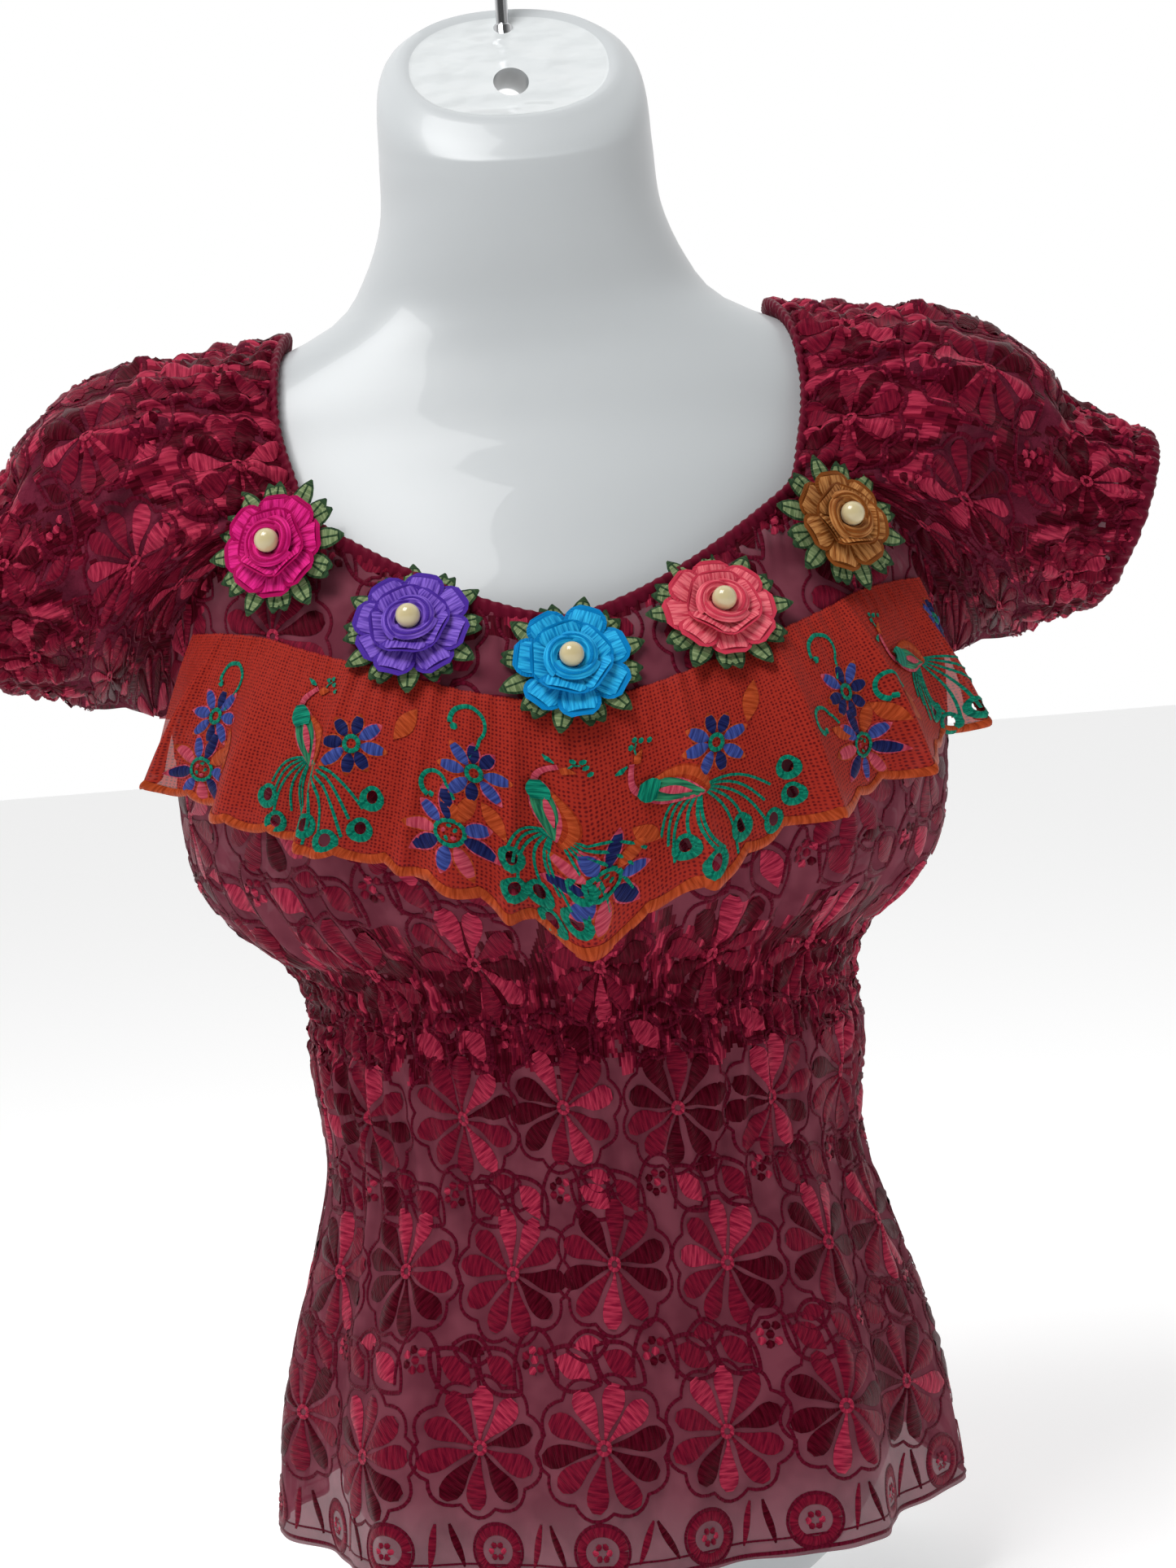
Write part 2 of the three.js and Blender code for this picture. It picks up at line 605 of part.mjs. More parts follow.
function formRing(row, sides) {
  const tilt = Math.tan(radians(row.tilt));
  return Array.from({ length: sides }, (_, i) => {
    const p = body(FORM_SECTIONS, (2 * Math.PI * i) / sides, row.z);
    const full = row.z > BUST_Z + 200 ? 0 : 1;
    const turn = (2 * Math.PI * i) / sides;
    const depth = Math.cos(turn) > 0 ? row.front : row.back;
    const y = full ? p.y : -depth * squared(Math.cos(turn));
    return vec(row.side * squared(Math.sin(turn)), y, row.z + y * tilt);
  });
}

function formTorso() {
  const sides = 28;
  const rings = FORM_SECTIONS.map((row) => formRing(row, sides));
  const points = rings.flat();
  const triangles = [];
  for (let j = 0; j < rings.length - 1; j++)
    for (let i = 0; i < sides; i++) {
      const next = (i + 1) % sides;
      const [a, b, c, d] = [j * sides + i, j * sides + next, (j + 1) * sides + next, (j + 1) * sides + i];
      triangles.push([a, b, c], [a, c, d]);
    }
  const last = (rings.length - 1) * sides;
  points.push(vec(0, 0, 0), vec(0, 0, FORM_SECTIONS.at(-1).z));
  for (let i = 0; i < sides; i++) {
    const next = (i + 1) % sides;
    triangles.push([next, i, points.length - 2], [last + i, last + next, points.length - 1]);
  }
  const pocket = new THREE.CylinderGeometry(HOOK.collarR + 1.5, HOOK.collarR + 1.5, 60, 14);
  pocket.rotateX(QUARTER).translate(0, HOOK.y, HOOK.seatZ + 30);
  const hole = new THREE.CylinderGeometry(FINGER_HOLE.r, FINGER_HOLE.r, FINGER_HOLE.length, FINGER_HOLE.sides);
  hole.translate(0, 0, FINGER_HOLE.z);
  return geometryOf(solidOf(meshOf(points, triangles)).subtract(solidOf(pocket)).subtract(solidOf(hole)));
}

function hook() {
  const seat = HOOK.seatZ + SEAM_GAP;
  const top = seat + HOOK.collarH + HOOK.stem;
  const path = [vec(0, HOOK.y, seat + HOOK.collarH - 2), vec(0, HOOK.y, top - 10)];
  const turns = 9;
  for (let k = 0; k <= turns; k++) {
    const turn = radians(lerp(-60, 180, k / turns));
    path.push(vec(HOOK.bendR * Math.cos(turn), HOOK.y, top + HOOK.bendR + HOOK.bendR * Math.sin(turn)));
  }
  path.splice(2, 0, vec(2, HOOK.y, top - 3));
  const section = new THREE.Shape().absarc(0, 0, HOOK.wire / 2, 0, 2 * Math.PI);
  const wire = new THREE.ExtrudeGeometry(section, {
    steps: 26,
    curveSegments: 4,
    extrudePath: new THREE.CatmullRomCurve3(path, false, "centripetal"),
  });
  const collar = new THREE.CylinderGeometry(HOOK.collarR - 1.5, HOOK.collarR, HOOK.collarH, 14);
  collar.rotateX(QUARTER).translate(0, HOOK.y, seat + HOOK.collarH / 2);
  return geometryOf(solidOf(wire).add(solidOf(collar)));
}

add("front", panel(true), 0x5c1228, 0.55);
add("back", panel(false), 0x5c1228, 0.55);
add("sleeve_left", sleeve(1), 0x6b1730, 0.55);
add("sleeve_right", sleeve(-1), 0x6b1730, 0.55);
add("ruffle", ruffle(), 0xb02a1c, 0.7);
ROSES.forEach(addRose);
add("form", formTorso(), 0xe6e8e8, 0.45);
add("hook", hook(), 0xc8c8cc, 0.2, 1);

export default blouse;
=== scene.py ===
"""A puff-sleeved peasant blouse of sheer embroidered mesh on a white display form, over its CAD frame."""
import math

import bmesh
import bpy
import numpy as np
from bpy.props import FloatProperty, IntProperty, PointerProperty
from mathutils import Matrix, Vector


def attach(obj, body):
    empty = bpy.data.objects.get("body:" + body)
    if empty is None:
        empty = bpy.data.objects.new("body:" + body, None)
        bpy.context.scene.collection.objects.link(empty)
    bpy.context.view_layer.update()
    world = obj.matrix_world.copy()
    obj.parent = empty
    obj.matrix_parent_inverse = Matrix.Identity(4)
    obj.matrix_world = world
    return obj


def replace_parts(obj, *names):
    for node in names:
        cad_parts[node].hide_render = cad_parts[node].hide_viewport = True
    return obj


bl_info = {
    "name": "Embroidered peasant blouse on a form",
    "version": (1, 0, 0),
    "blender": (4, 5, 0),
    "location": "View3D > Sidebar > Blouse",
    "description": "Dresses the blouse, its ruffle, roses and display form",
    "category": "Object",
}

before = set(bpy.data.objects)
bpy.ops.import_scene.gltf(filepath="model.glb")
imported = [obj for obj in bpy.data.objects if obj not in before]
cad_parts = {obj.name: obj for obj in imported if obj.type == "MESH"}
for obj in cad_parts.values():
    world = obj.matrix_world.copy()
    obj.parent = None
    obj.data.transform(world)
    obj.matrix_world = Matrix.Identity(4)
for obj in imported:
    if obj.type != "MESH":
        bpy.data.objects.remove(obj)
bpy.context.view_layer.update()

MM = 0.001
QUARTER = math.pi / 2
FULL_TURN = 2 * math.pi
HEM_Z = 45.0
BUST_Z = 372.0
SQUARENESS = 2.25
NECK_ROUNDING = 1.5
SKIRT_FOLDS = 9
CLOTH_STAND = 1.0

# Worn cloth: height, half width, depth in front of the axis, depth behind it.
CLOTH_SECTIONS = np.array([
    (45, 140, 124, 107), (90, 137, 118, 101), (125, 130, 110, 95), (160, 120, 101, 87),
    (198, 112, 94, 80), (243, 116, 98, 83), (266, 115, 99, 83), (286, 122, 105, 86), (305, 143, 119, 96),
    (325, 156, 130, 104), (350, 161, 135, 106), (392, 163, 133, 105), (430, 163, 116, 101),
    (455, 162, 101, 98), (478, 164, 88, 94), (500, 167, 73, 88), (520, 167, 62, 82),
], float)

# Display form: height, half width, depth in front, depth behind, and the degrees that a ring leans forward.
FORM_SECTIONS = np.array([
    (0, 66, 55, 48, 0), (10, 82, 68, 60, 0), (34, 105, 88, 77, 0), (65, 120, 100, 88, 0),
    (100, 124, 103, 90, 0), (145, 112, 92, 80, 0), (198, 98, 80, 69, 0), (245, 101, 84, 71, 0),
    (292, 111, 97, 78, 0),
    (340, 125, 113, 84, 0), (385, 135, 120, 90, 0), (430, 146, 108, 92, 0), (455, 155, 94, 90, 0),
    (478, 161, 80, 86, 0), (500, 162, 65, 80, 0), (520, 155, 55.5, 71.5, 0), (535, 127.6, 49.5, 61.5, 0),
    (544, 104, 47.5, 55.5, 0), (556, 81, 46, 51, 0), (572, 69, 47, 49, 0), (595, 60, 48, 48, 0),
    (623, 58, 48, 48, 16), (645, 57, 47, 47, 34), (654, 54, 44, 44, 38), (660, 47, 38, 38, 38),
], float)

# Of the front (True) and back: the neckline's corner (x, z) and lowest height, and the raglan seam's points
# as degrees from the centre line and height.
NECK = {
    True: {"corner": (98.0, 472.0), "low": 425.0, "raglan": ((57, 454), (74, 429), (90, 392))},
    False: {"corner": (99.0, 510.0), "low": 504.0, "raglan": ((54, 480), (73, 440), (90, 392))},
}
SHOULDER_LINE = ((107, -51, 509), (106, -34, 535), (101, 4, 550), (104, 33, 542), (105, 54, 527))

# Left sleeve stations round it: column, direction out of the seam, swell before the cuff.
SLEEVE_STATIONS = (
    (0, (14, 0, 4), (-12, 0, -5)),
    (7, (18, -9, 0), (-20, -16, -2)),
    (14, (30, -3, 5), (-28, -18, 10)),
    (23, (34, -12, 14), (-12, -20, 32)),
    (32, (40, 0, -5), (-6, 0, 41)),
    (41, (34, 10, 6), (-12, 18, 32)),
    (50, (30, 3, 5), (-28, 16, 10)),
    (57, (18, 9, 0), (-20, 15, -2)),
)
RAGLAN_COLUMNS = 14
SHOULDER_COLUMNS = 36
SLEEVE_COLUMNS = 64
CUFF_START = (212.5, 455.0, 47.5, 50.0, 9.0)
CUFF_END = (248.0, 447.0, 37.0, 44.0, 24.0)
CUFF_Y = 2.0
FRONT_RAGLAN_TURN = 80.0

# Ruffle: share of its half length, height of its seam, height of its lower edge.
RUFFLE_HEIGHTS = np.array([
    (0, 390, 302), (0.1, 394.5, 315), (0.2, 399, 328), (0.3, 404.5, 336), (0.4, 410, 343), (0.5, 415, 347),
    (0.6, 420, 352), (0.7, 425, 358), (0.85, 428, 366), (1, 429, 373),
], float)
RUFFLE_HALF = 214.0
# Narrow tucks of the ruffle: share of its half length, and how far each stands out at the edge.
RUFFLE_TUCKS = (
    (-0.86, 4.0), (-0.45, 6.0), (-0.27, 4.0), (-0.1, 5.5),
    (0.19, 5.0), (0.42, 3.5), (0.64, 4.5), (0.88, 4.0),
)
# Eyelets: share of the ruffle's half length, and share of its depth.
EYELETS = (
    (-0.57, 0.77), (-0.544, 0.9), (-0.458, 0.835), (-0.415, 0.895), (-0.364, 0.82), (-0.352, 0.65),
    (-0.11, 0.72), (-0.107, 0.85), (-0.07, 0.84), (-0.054, 0.93), (-0.02, 0.86), (-0.012, 0.74),
    (0.144, 0.785), (0.182, 0.885), (0.239, 0.83), (0.301, 0.895), (0.347, 0.81), (0.35, 0.665),
    (0.784, 0.8), (0.812, 0.905), (0.858, 0.85), (0.898, 0.9), (0.932, 0.8), (0.935, 0.66),
)

# Roses: name, x, z, stand off the cloth, tip in degrees, petals, radius, turn.
ROSES = (
    ("magenta", -106, 457, 10.6, -4, 8, 21, 0.1),
    ("violet", -59, 423, 4.0, 5, 8, 23, 0.5),
    ("turquoise", 0, 405, 3.3, 5, 7, 23, 0.3),
    ("coral", 59, 420, 4.3, 5, 8, 22, 0.0),
    ("amber", 109, 449, 10.4, -4, 7, 21, 0.7),
)
HOOK = {"wire": 5.5, "collar_h": 9.0, "y": 28.0, "seat": 672.5, "stem": 30.0, "bend": 24.0}

# The shirred waist: the heights where it starts and ends, each over a short way, the distances between
# pleats, between gathers and between elastic rows, and the lowest row.
WAIST_START = (244, 252)
WAIST_END = (289, 296)
PLEAT_PITCH = 6.8
GATHER_PITCH = 15.5
ELASTIC_PITCH = 9.6
ELASTIC_LOW = 252.0

# Daisies of the panels: distance along and between rows, rows, height of the first row, reach of petals.
DAISY_SPACING = 60.0
DAISY_PITCH = 64.8
DAISY_ROWS = 7
FIRST_DAISY_Z = 97.0
DAISY_REACH = 25.2
HEM_PITCH = 25.0

# Columns where the shirring over the shoulder starts and ends.
OVER_START = (11, 15)
OVER_END = (49, 53)

# Sleeves: millimetres to a column and to the whole share, for the finish and for the embroidery, and the
# reach and number of daisies in a row.
FINISH_ACROSS = 5.2
FINISH_DOWN = 150.0
STITCH_ACROSS = 5.4
STITCH_DOWN = 168.0
SLEEVE_DAISY_REACH = 21.5
SLEEVE_DAISIES = 7

# Measures of the form's drilled hole and of the roses' beads.
FINGER_HOLE = {"radius": 7.5, "z": 650.0, "length": 160.0}
BEAD_RADIUS = 4.8
BEAD_STAND = 9.25


def linear(code):
    """A hex sRGB colour as linear red, green, blue and one."""
    parts = [int(code[i:i + 2], 16) / 255 for i in (1, 3, 5)]
    return tuple(p / 12.92 if p <= 0.04045 else ((p + 0.055) / 1.055) ** 2.4 for p in parts) + (1.0,)


def lookup(table, key, column):
    """Smooth values of one column at each key, by cubic steps between the table's rows."""
    keys = table[:, 0]
    values = table[:, column]
    last = len(keys) - 1
    lo = np.maximum(np.arange(last + 1) - 1, 0)
    hi = np.minimum(np.arange(last + 1) + 1, last)
    slopes = (values[hi] - values[lo]) / (keys[hi] - keys[lo])
    key = np.asarray(key, float)
    i = np.clip(np.searchsorted(keys, key, side="right") - 1, 0, last - 1)
    span = keys[i + 1] - keys[i]
    t = np.clip((key - keys[i]) / span, 0, 1)
    t2 = t * t
    t3 = t2 * t
    return ((2 * t3 - 3 * t2 + 1) * values[i] + (t3 - 2 * t2 + t) * span * slopes[i]
            + (3 * t2 - 2 * t3) * values[i + 1] + (t3 - t2) * span * slopes[i + 1])


def smooth(low, high, value):
    """0 below low, 1 above high, and an easy curve between."""
    t = np.clip((np.asarray(value, float) - low) / (high - low), 0, 1)
    return t * t * (3 - 2 * t)


def squared(v):
    return np.sign(v) * np.abs(v) ** (2 / SQUARENESS)


def waver(a, b, seed):
    """A smooth uneven value near -1 to 1 over two running numbers."""
    total = np.sin(a * 1.0 + 1.3 * np.sin(b * 0.7 + seed) + seed * 1.7)
    total = total + 0.6 * np.sin(a * 2.3 - b * 1.1 + seed * 3.1)
    total = total + 0.4 * np.sin(a * 4.1 + b * 2.7 + seed * 5.3 + np.sin(a * 0.9))
    return total / 1.6


def body(table, angle, z, full=1.0):
    """Points of a body's surface, angle 0 at centre front and a quarter turn at the wearer's left."""
    turned = np.arctan2(np.sin(angle), np.cos(angle))
    side = lookup(table, z, 1)
    depth = np.where(np.cos(turned) > 0, lookup(table, z, 2), lookup(table, z, 3))
    bust = 8 * np.exp(-((np.abs(turned) - 0.55) / 0.36) ** 2 - ((z - 378) / 40) ** 2)
    return np.stack([side * squared(np.sin(turned)), -depth * squared(np.cos(turned)) - full * bust,
                     z + 0 * turned], axis=-1)


def outward(angle, z):
    """The cloth's outward direction."""
    across = body(CLOTH_SECTIONS, angle + 0.01, z) - body(CLOTH_SECTIONS, angle - 0.01, z)
    up = body(CLOTH_SECTIONS, angle, z + 1) - body(CLOTH_SECTIONS, angle, z - 1)
    return unit(np.cross(across, up))


def ripple(phase):
    """An even wave between 0 and 1."""
    return 0.5 + 0.5 * np.cos(phase)


def pairs(x, y):
    """Flat points from a row of each of their two numbers."""
    return np.stack([x, y], axis=1)


def domed(low, high, count):
    """Sines between two angles: the widths of a band with rounded ends."""
    return np.sin(np.linspace(low, high, count))


def unit(v):
    return v / np.maximum(np.linalg.norm(v, axis=-1, keepdims=True), 1e-9)


def angle_at(x, z):
    """The angle at which the cloth's section reaches x."""
    share = np.abs(x) / lookup(CLOTH_SECTIONS, z, 1)
    return np.arcsin(np.minimum(1, share ** (SQUARENESS / 2))) * np.sign(x)


# How far round the bust each angle lies, front and back, so that motifs keep their size.
ARC_ANGLES = np.concatenate([[0], np.geomspace(1e-4, QUARTER, 900)])


def arc_lengths(is_front):
    angles = ARC_ANGLES if is_front else math.pi - ARC_ANGLES
    points = body(CLOTH_SECTIONS, angles, np.full(len(angles), 355.0), 0.0)
    steps = np.linalg.norm(np.diff(points, axis=0), axis=1)
    return np.concatenate([[0], np.cumsum(steps)])


ARCS = {True: arc_lengths(True), False: arc_lengths(False)}


def arc_of(is_front, own):
    return np.sign(own) * np.interp(np.abs(own), ARC_ANGLES, ARCS[is_front])


def angle_of(is_front, arc):
    return np.sign(arc) * np.interp(np.abs(arc), ARCS[is_front], ARC_ANGLES)


def top_edge(is_front, c):
    """A panel's top edge at column share c, as an angle from its own centre line and a height."""
    share = np.abs(c)
    corner_x, corner_z = NECK[is_front]["corner"]
    low = NECK[is_front]["low"]
    m = np.minimum(share / 0.5, 1)
    neck_z = low + (corner_z - low) * m ** NECK_ROUNDING
    neck_angle = angle_at(corner_x * m, neck_z)
    first = math.degrees(float(angle_at(np.array(corner_x), np.array(corner_z))))
    rows = [(0, first, corner_z)]
    rows += [((i + 1) / 3, turn, z) for i, (turn, z) in enumerate(NECK[is_front]["raglan"])]
    rows = np.array(rows, float)
    k = np.clip((share - 0.5) / 0.5, 0, 1)
    angle = np.where(share <= 0.5, neck_angle, np.radians(lookup(rows, k, 1)))
    return angle * np.sign(c), np.where(share <= 0.5, neck_z, lookup(rows, k, 2))


def top_height(is_front, own):
    """The height of a panel's top edge over an angle from its centre line."""
    shares = np.linspace(0, 1, 200)
    angles, heights = top_edge(is_front, shares)
    return np.interp(np.abs(own), angles, heights)


def waist_gathers(arc, z):
    """How far the shirring stands out: pleats between elastic rows, with gathers above and below them."""
    fine = ripple(FULL_TURN * arc / PLEAT_PITCH + 1.6 * waver(arc / 23, z / 17, 0.4))
    wide = ripple(FULL_TURN * arc / GATHER_PITCH + 2.2 * waver(arc / 40, z / 60, 1.9))
    band = smooth(*WAIST_START, z) * (1 - smooth(*WAIST_END, z))
    drift = 0.25 * waver(arc / 30, 0 * z, 3.7)
    rows = np.abs(np.sin(math.pi * (z - ELASTIC_LOW) / ELASTIC_PITCH + drift)) ** 0.7
    puff = band * (0.2 + 3.2 * rows * fine * (0.72 + 0.28 * waver(arc / 9, z / 8, 2.2)))
    above = smooth(288, 298, z) * (1 - smooth(302, 362, z))
    below = (1 - smooth(244, 254, z)) * smooth(120, 240, z)
    reach = 0.55 + 0.45 * waver(arc / 31, 0 * z, 4.4)
    return puff + (above * 4.2 + below * 4.6) * wide * reach


def neck_gathers(arc, below_top):
    """The crinkle that the neckline's elastic gives the cloth just under it."""
    fade = 1 - smooth(2, 34, below_top)
    return 1.1 * fade * ripple(FULL_TURN * arc / 5.6 + 1.4 * waver(arc / 19, below_top / 20, 3.3))


def panel_place(is_front, own, z, lift):
    """Points on a worn panel, raised over its gathers and folds."""
    angle = own if is_front else math.pi - own
    arc = arc_of(is_front, own)
    fold = np.interp(z, (45, 95, 145, 195, 236), (6, 4.5, 2.5, 0.8, 0))
    upper = np.interp(z, (288, 310, 342, 372), (0, 0.8, 0.8, 0))
    height = (fold + upper) * np.cos(SKIRT_FOLDS * angle + 0.6)
    height = height + 1.3 * waver(arc / 27, z / 60, 5.1) * smooth(300, 330, z) * (1 - smooth(370, 400, z))
    height = height + 2.4 * waver(arc / 17, z / 85, 7.7) * (1 - smooth(150, 235, z))
    centre = np.abs(own) * 2 / math.pi
    under = np.maximum(top_height(is_front, own) - z, 0)
    height = height + waist_gathers(arc, z) + neck_gathers(arc, under) * (centre < 0.5)
    point = body(CLOTH_SECTIONS, angle, z)
    return point + outward(angle, z) * (CLOTH_STAND + height + lift)[..., None]


def strand(points):
    """Catmull-Rom samples and their running lengths, centripetal as a draped cord's centre line is."""
    p = np.array(points, float)
    p = np.vstack([2 * p[0] - p[1], p, 2 * p[-1] - p[-2]])
    out = []
    for k in range(1, len(p) - 2):
        gaps = [max(np.linalg.norm(p[k + j] - p[k + j - 1]) ** 0.5, 1e-4) for j in (0, 1, 2)]
        before, here, after = (p[k + j] - p[k + j - 1] for j in (0, 1, 2))
        a = before / gaps[0] - (p[k + 1] - p[k - 1]) / (gaps[0] + gaps[1]) + here / gaps[1]
        b = here / gaps[1] - (p[k + 2] - p[k]) / (gaps[1] + gaps[2]) + after / gaps[2]
        a = a * gaps[1]
        b = b * gaps[1]
        for t in np.linspace(0, 1, 41)[:-1]:
            out.append((2 * t ** 3 - 3 * t ** 2 + 1) * p[k] + (t ** 3 - 2 * t ** 2 + t) * a
                       + (3 * t ** 2 - 2 * t ** 3) * p[k + 1] + (t ** 3 - t ** 2) * b)
    out.append(p[-2])
    out = np.array(out)
    run = np.concatenate([[0], np.cumsum(np.linalg.norm(np.diff(out, axis=0), axis=1))])
    return out, run


def along(samples, run, share):
    """Points of a sampled strand at shares of its length."""
    at = np.asarray(share) * run[-1]
    return np.stack([np.interp(at, run, samples[:, k]) for k in range(3)], axis=-1)


def seam_point(is_front, c):
    own, z = top_edge(is_front, np.asarray(c, float))
    return body(CLOTH_SECTIONS, own if is_front else math.pi - own, z)


def shoulder_strand():
    ends = [seam_point(side, np.array([0.5]))[0] for side in (True, False)]
    return strand([ends[0], *SHOULDER_LINE, ends[1]])


SHOULDER = shoulder_strand()


def sleeve_seam(column):
    """The left sleeve's inner boundary at each column: front raglan, shoulder, back raglan."""
    column = np.asarray(column, float) % SLEEVE_COLUMNS
    front = seam_point(True, 1 - 0.5 * np.clip(column / RAGLAN_COLUMNS, 0, 1))
    over = along(*SHOULDER, np.clip((column - RAGLAN_COLUMNS) / SHOULDER_COLUMNS, 0, 1))
    back = seam_point(False, 1 - 0.5 * np.clip((SLEEVE_COLUMNS - column) / RAGLAN_COLUMNS, 0, 1))
    first = (column < RAGLAN_COLUMNS)[..., None]
    second = (column < RAGLAN_COLUMNS + SHOULDER_COLUMNS)[..., None]
    return np.where(first, front, np.where(second, over, back))


def station_value(column, which):
    """A smooth closed run through one direction of the eight stations."""
    values = np.array([s[which] for s in SLEEVE_STATIONS], float)
    marks = np.array([s[0] for s in SLEEVE_STATIONS] + [SLEEVE_COLUMNS], float)
    column = np.asarray(column, float) % SLEEVE_COLUMNS
    k = np.clip(np.searchsorted(marks, column, side="right") - 1, 0, 7)
    t = ((column - marks[k]) / (marks[k + 1] - marks[k]))[..., None]
    p0, p1, p2, p3 = (values[(k + step) % 8] for step in (-1, 0, 1, 2))
    return 0.5 * (2 * p1 + (p2 - p0) * t + (2 * p0 - 5 * p1 + 4 * p2 - p3) * t ** 2
                  + (3 * p1 - p0 - 3 * p2 + p3) * t ** 3)


def cuff_point(column, share):
    front = math.radians(FRONT_RAGLAN_TURN)
    over = FULL_TURN - 2 * front
    marks = (0, RAGLAN_COLUMNS, RAGLAN_COLUMNS + SHOULDER_COLUMNS, SLEEVE_COLUMNS)
    folded = np.asarray(column, float) % SLEEVE_COLUMNS
    turn = np.interp(folded, marks, (0, front, front + over, FULL_TURN))
    x, z, high, deep, lean = (a + (b - a) * share for a, b in zip(CUFF_START, CUFF_END))
    rise = -high * np.cos(turn)
    lean = np.radians(lean)
    return np.stack(
        [x + rise * np.sin(lean), CUFF_Y - deep * np.sin(turn), z + rise * np.cos(lean)], axis=-1)


PUFF_END = 0.76


def sleeve_middle(column, share):
    """The left sleeve's plain surface: share 0 at its inner seams, PUFF_END at the cuff, 1 at the end."""
    seam = sleeve_seam(column)
    folded = np.asarray(column, float) % SLEEVE_COLUMNS
    near = np.minimum(folded, SLEEVE_COLUMNS - folded)
    first = seam + np.stack([0 * near + 0.5, 0 * near, 1.7 * np.exp(-(near / 3) ** 2)], axis=-1)
    cuff = cuff_point(column, 0 * share)
    t = np.clip(share / PUFF_END, 0, 1)[..., None]
    a = first + station_value(column, 1)
    b = cuff + station_value(column, 2)
    puff = (1 - t) ** 3 * first + 3 * (1 - t) ** 2 * t * a + 3 * (1 - t) * t ** 2 * b + t ** 3 * cuff
    band = cuff_point(column, np.clip((share - PUFF_END) / (1 - PUFF_END), 0, 1))
    return np.where((share > PUFF_END)[..., None], band, puff)


def sleeve_gathers(column, share):
    """Shirring in rows at the neck and cuff, gathers that run out of both, and unevenness between them."""
    folded = np.asarray(column, float) % SLEEVE_COLUMNS
    over = smooth(*OVER_START, folded) * (1 - smooth(*OVER_END, folded))
    sway = 1.7 * waver(folded / 2.6, share * 11, 0.6)
    fine = ripple(math.pi * folded + sway)
    wide = ripple(FULL_TURN * folded / 3.2 + 1.9 * waver(folded / 4, share * 5, 2.6))
    blob = 0.75 + 0.25 * waver(folded / 1.3, share * 34, 1.4)
    rows = np.abs(np.sin(math.pi * share / 0.066 + 0.5 * waver(folded / 6, share * 3, 4.4))) ** 0.6
    neck = over * (1 - smooth(0.3, 0.46, share)) * (0.2 + 5.4 * fine ** 1.4 * rows * blob)
    swell = over * smooth(0.22, 0.36, share) * (1 - smooth(0.42, 0.66, share)) * 4.6 * wide
    into_cuff = smooth(0.54, 0.74, share) * (1 - smooth(0.76, 0.8, share)) * 3.8 * wide
    cuff_rows = np.abs(np.sin(math.pi * (share - PUFF_END) / 0.06)) ** 0.6
    cuff = smooth(0.73, 0.78, share) * (0.3 + 4.0 * fine ** 1.3 * cuff_rows * blob)
    soft = 3.2 * waver(folded / 5, share * 6, 4.2)
    soft = soft * smooth(0.25, 0.45, share) * (1 - smooth(0.6, 0.75, share))
    return neck + swell + into_cuff + cuff + soft


def sleeve_place(mirror, column, share, lift):
    middle = sleeve_middle(column, share)
    round_step = sleeve_middle(column + 0.2, share) - sleeve_middle(column - 0.2, share)
    lo = np.clip(share - 0.01, 0, 1)
    hi = np.clip(share + 0.01, 0, 1)
    along_step = sleeve_middle(column, hi) - sleeve_middle(column, lo)
    normal = unit(np.cross(along_step, round_step))
    point = middle + normal * (0.2 + sleeve_gathers(column, share) + lift)[..., None]
    return point * np.array([mirror, 1, 1])


def ruffle_place(r, d, raised):
    """Points of the ruffle: r is the share of its half length and d the share of its depth."""
    angle = np.radians(62 + 18 * d) * r
    share = np.abs(r)
    top = lookup(RUFFLE_HEIGHTS, share, 1)
    z = top + (lookup(RUFFLE_HEIGHTS, share, 2) - top) * d
    hang = 8 * (1 + 0.5 * np.exp(-((r / 0.3) ** 2)) + 0.5 * share ** 6)
    turn = math.pi * 9.3 * r + 0.5 * np.sin(5 * r)
    fold = 5.2 * np.cos(turn) + 1.7 * np.cos(2 * turn + 0.9)
    crimp = 0.5 * (1 - smooth(0, 0.4, d)) * (1 + np.cos(FULL_TURN * r * 27 + 1.5 * waver(r * 9, d, 1.2)))
    soft = 1.3 * waver(r * 11, d * 2.5, 3.8) * d
    tucks = sum(rise * np.exp(-((r - at + 0.02 * d) / 0.016) ** 2) for at, rise in RUFFLE_TUCKS)
    height = 2.3 + (hang + fold + tucks) * d + tucks * 0.2 + crimp + soft + raised
    return body(CLOTH_SECTIONS, angle, z) + outward(angle, z) * height[..., None]


def ruffle_depth(r):
    return np.interp(np.abs(r), (0, 0.2, 0.4, 0.6, 0.8, 1), (102, 80, 78, 78, 73, 69))


def ruffle_local(r0, d0):
    """Places for motif millimetres across and up, round a point of the ruffle."""
    depth = float(ruffle_depth(r0))
    return lambda x, y: (r0 + x / RUFFLE_HALF, d0 - y / depth)


# Meshes and materials

def soften(mesh):
    mesh.polygons.foreach_set("use_smooth", np.ones(len(mesh.polygons), bool))


def link(obj):
    bpy.context.scene.collection.objects.link(obj)
    return obj


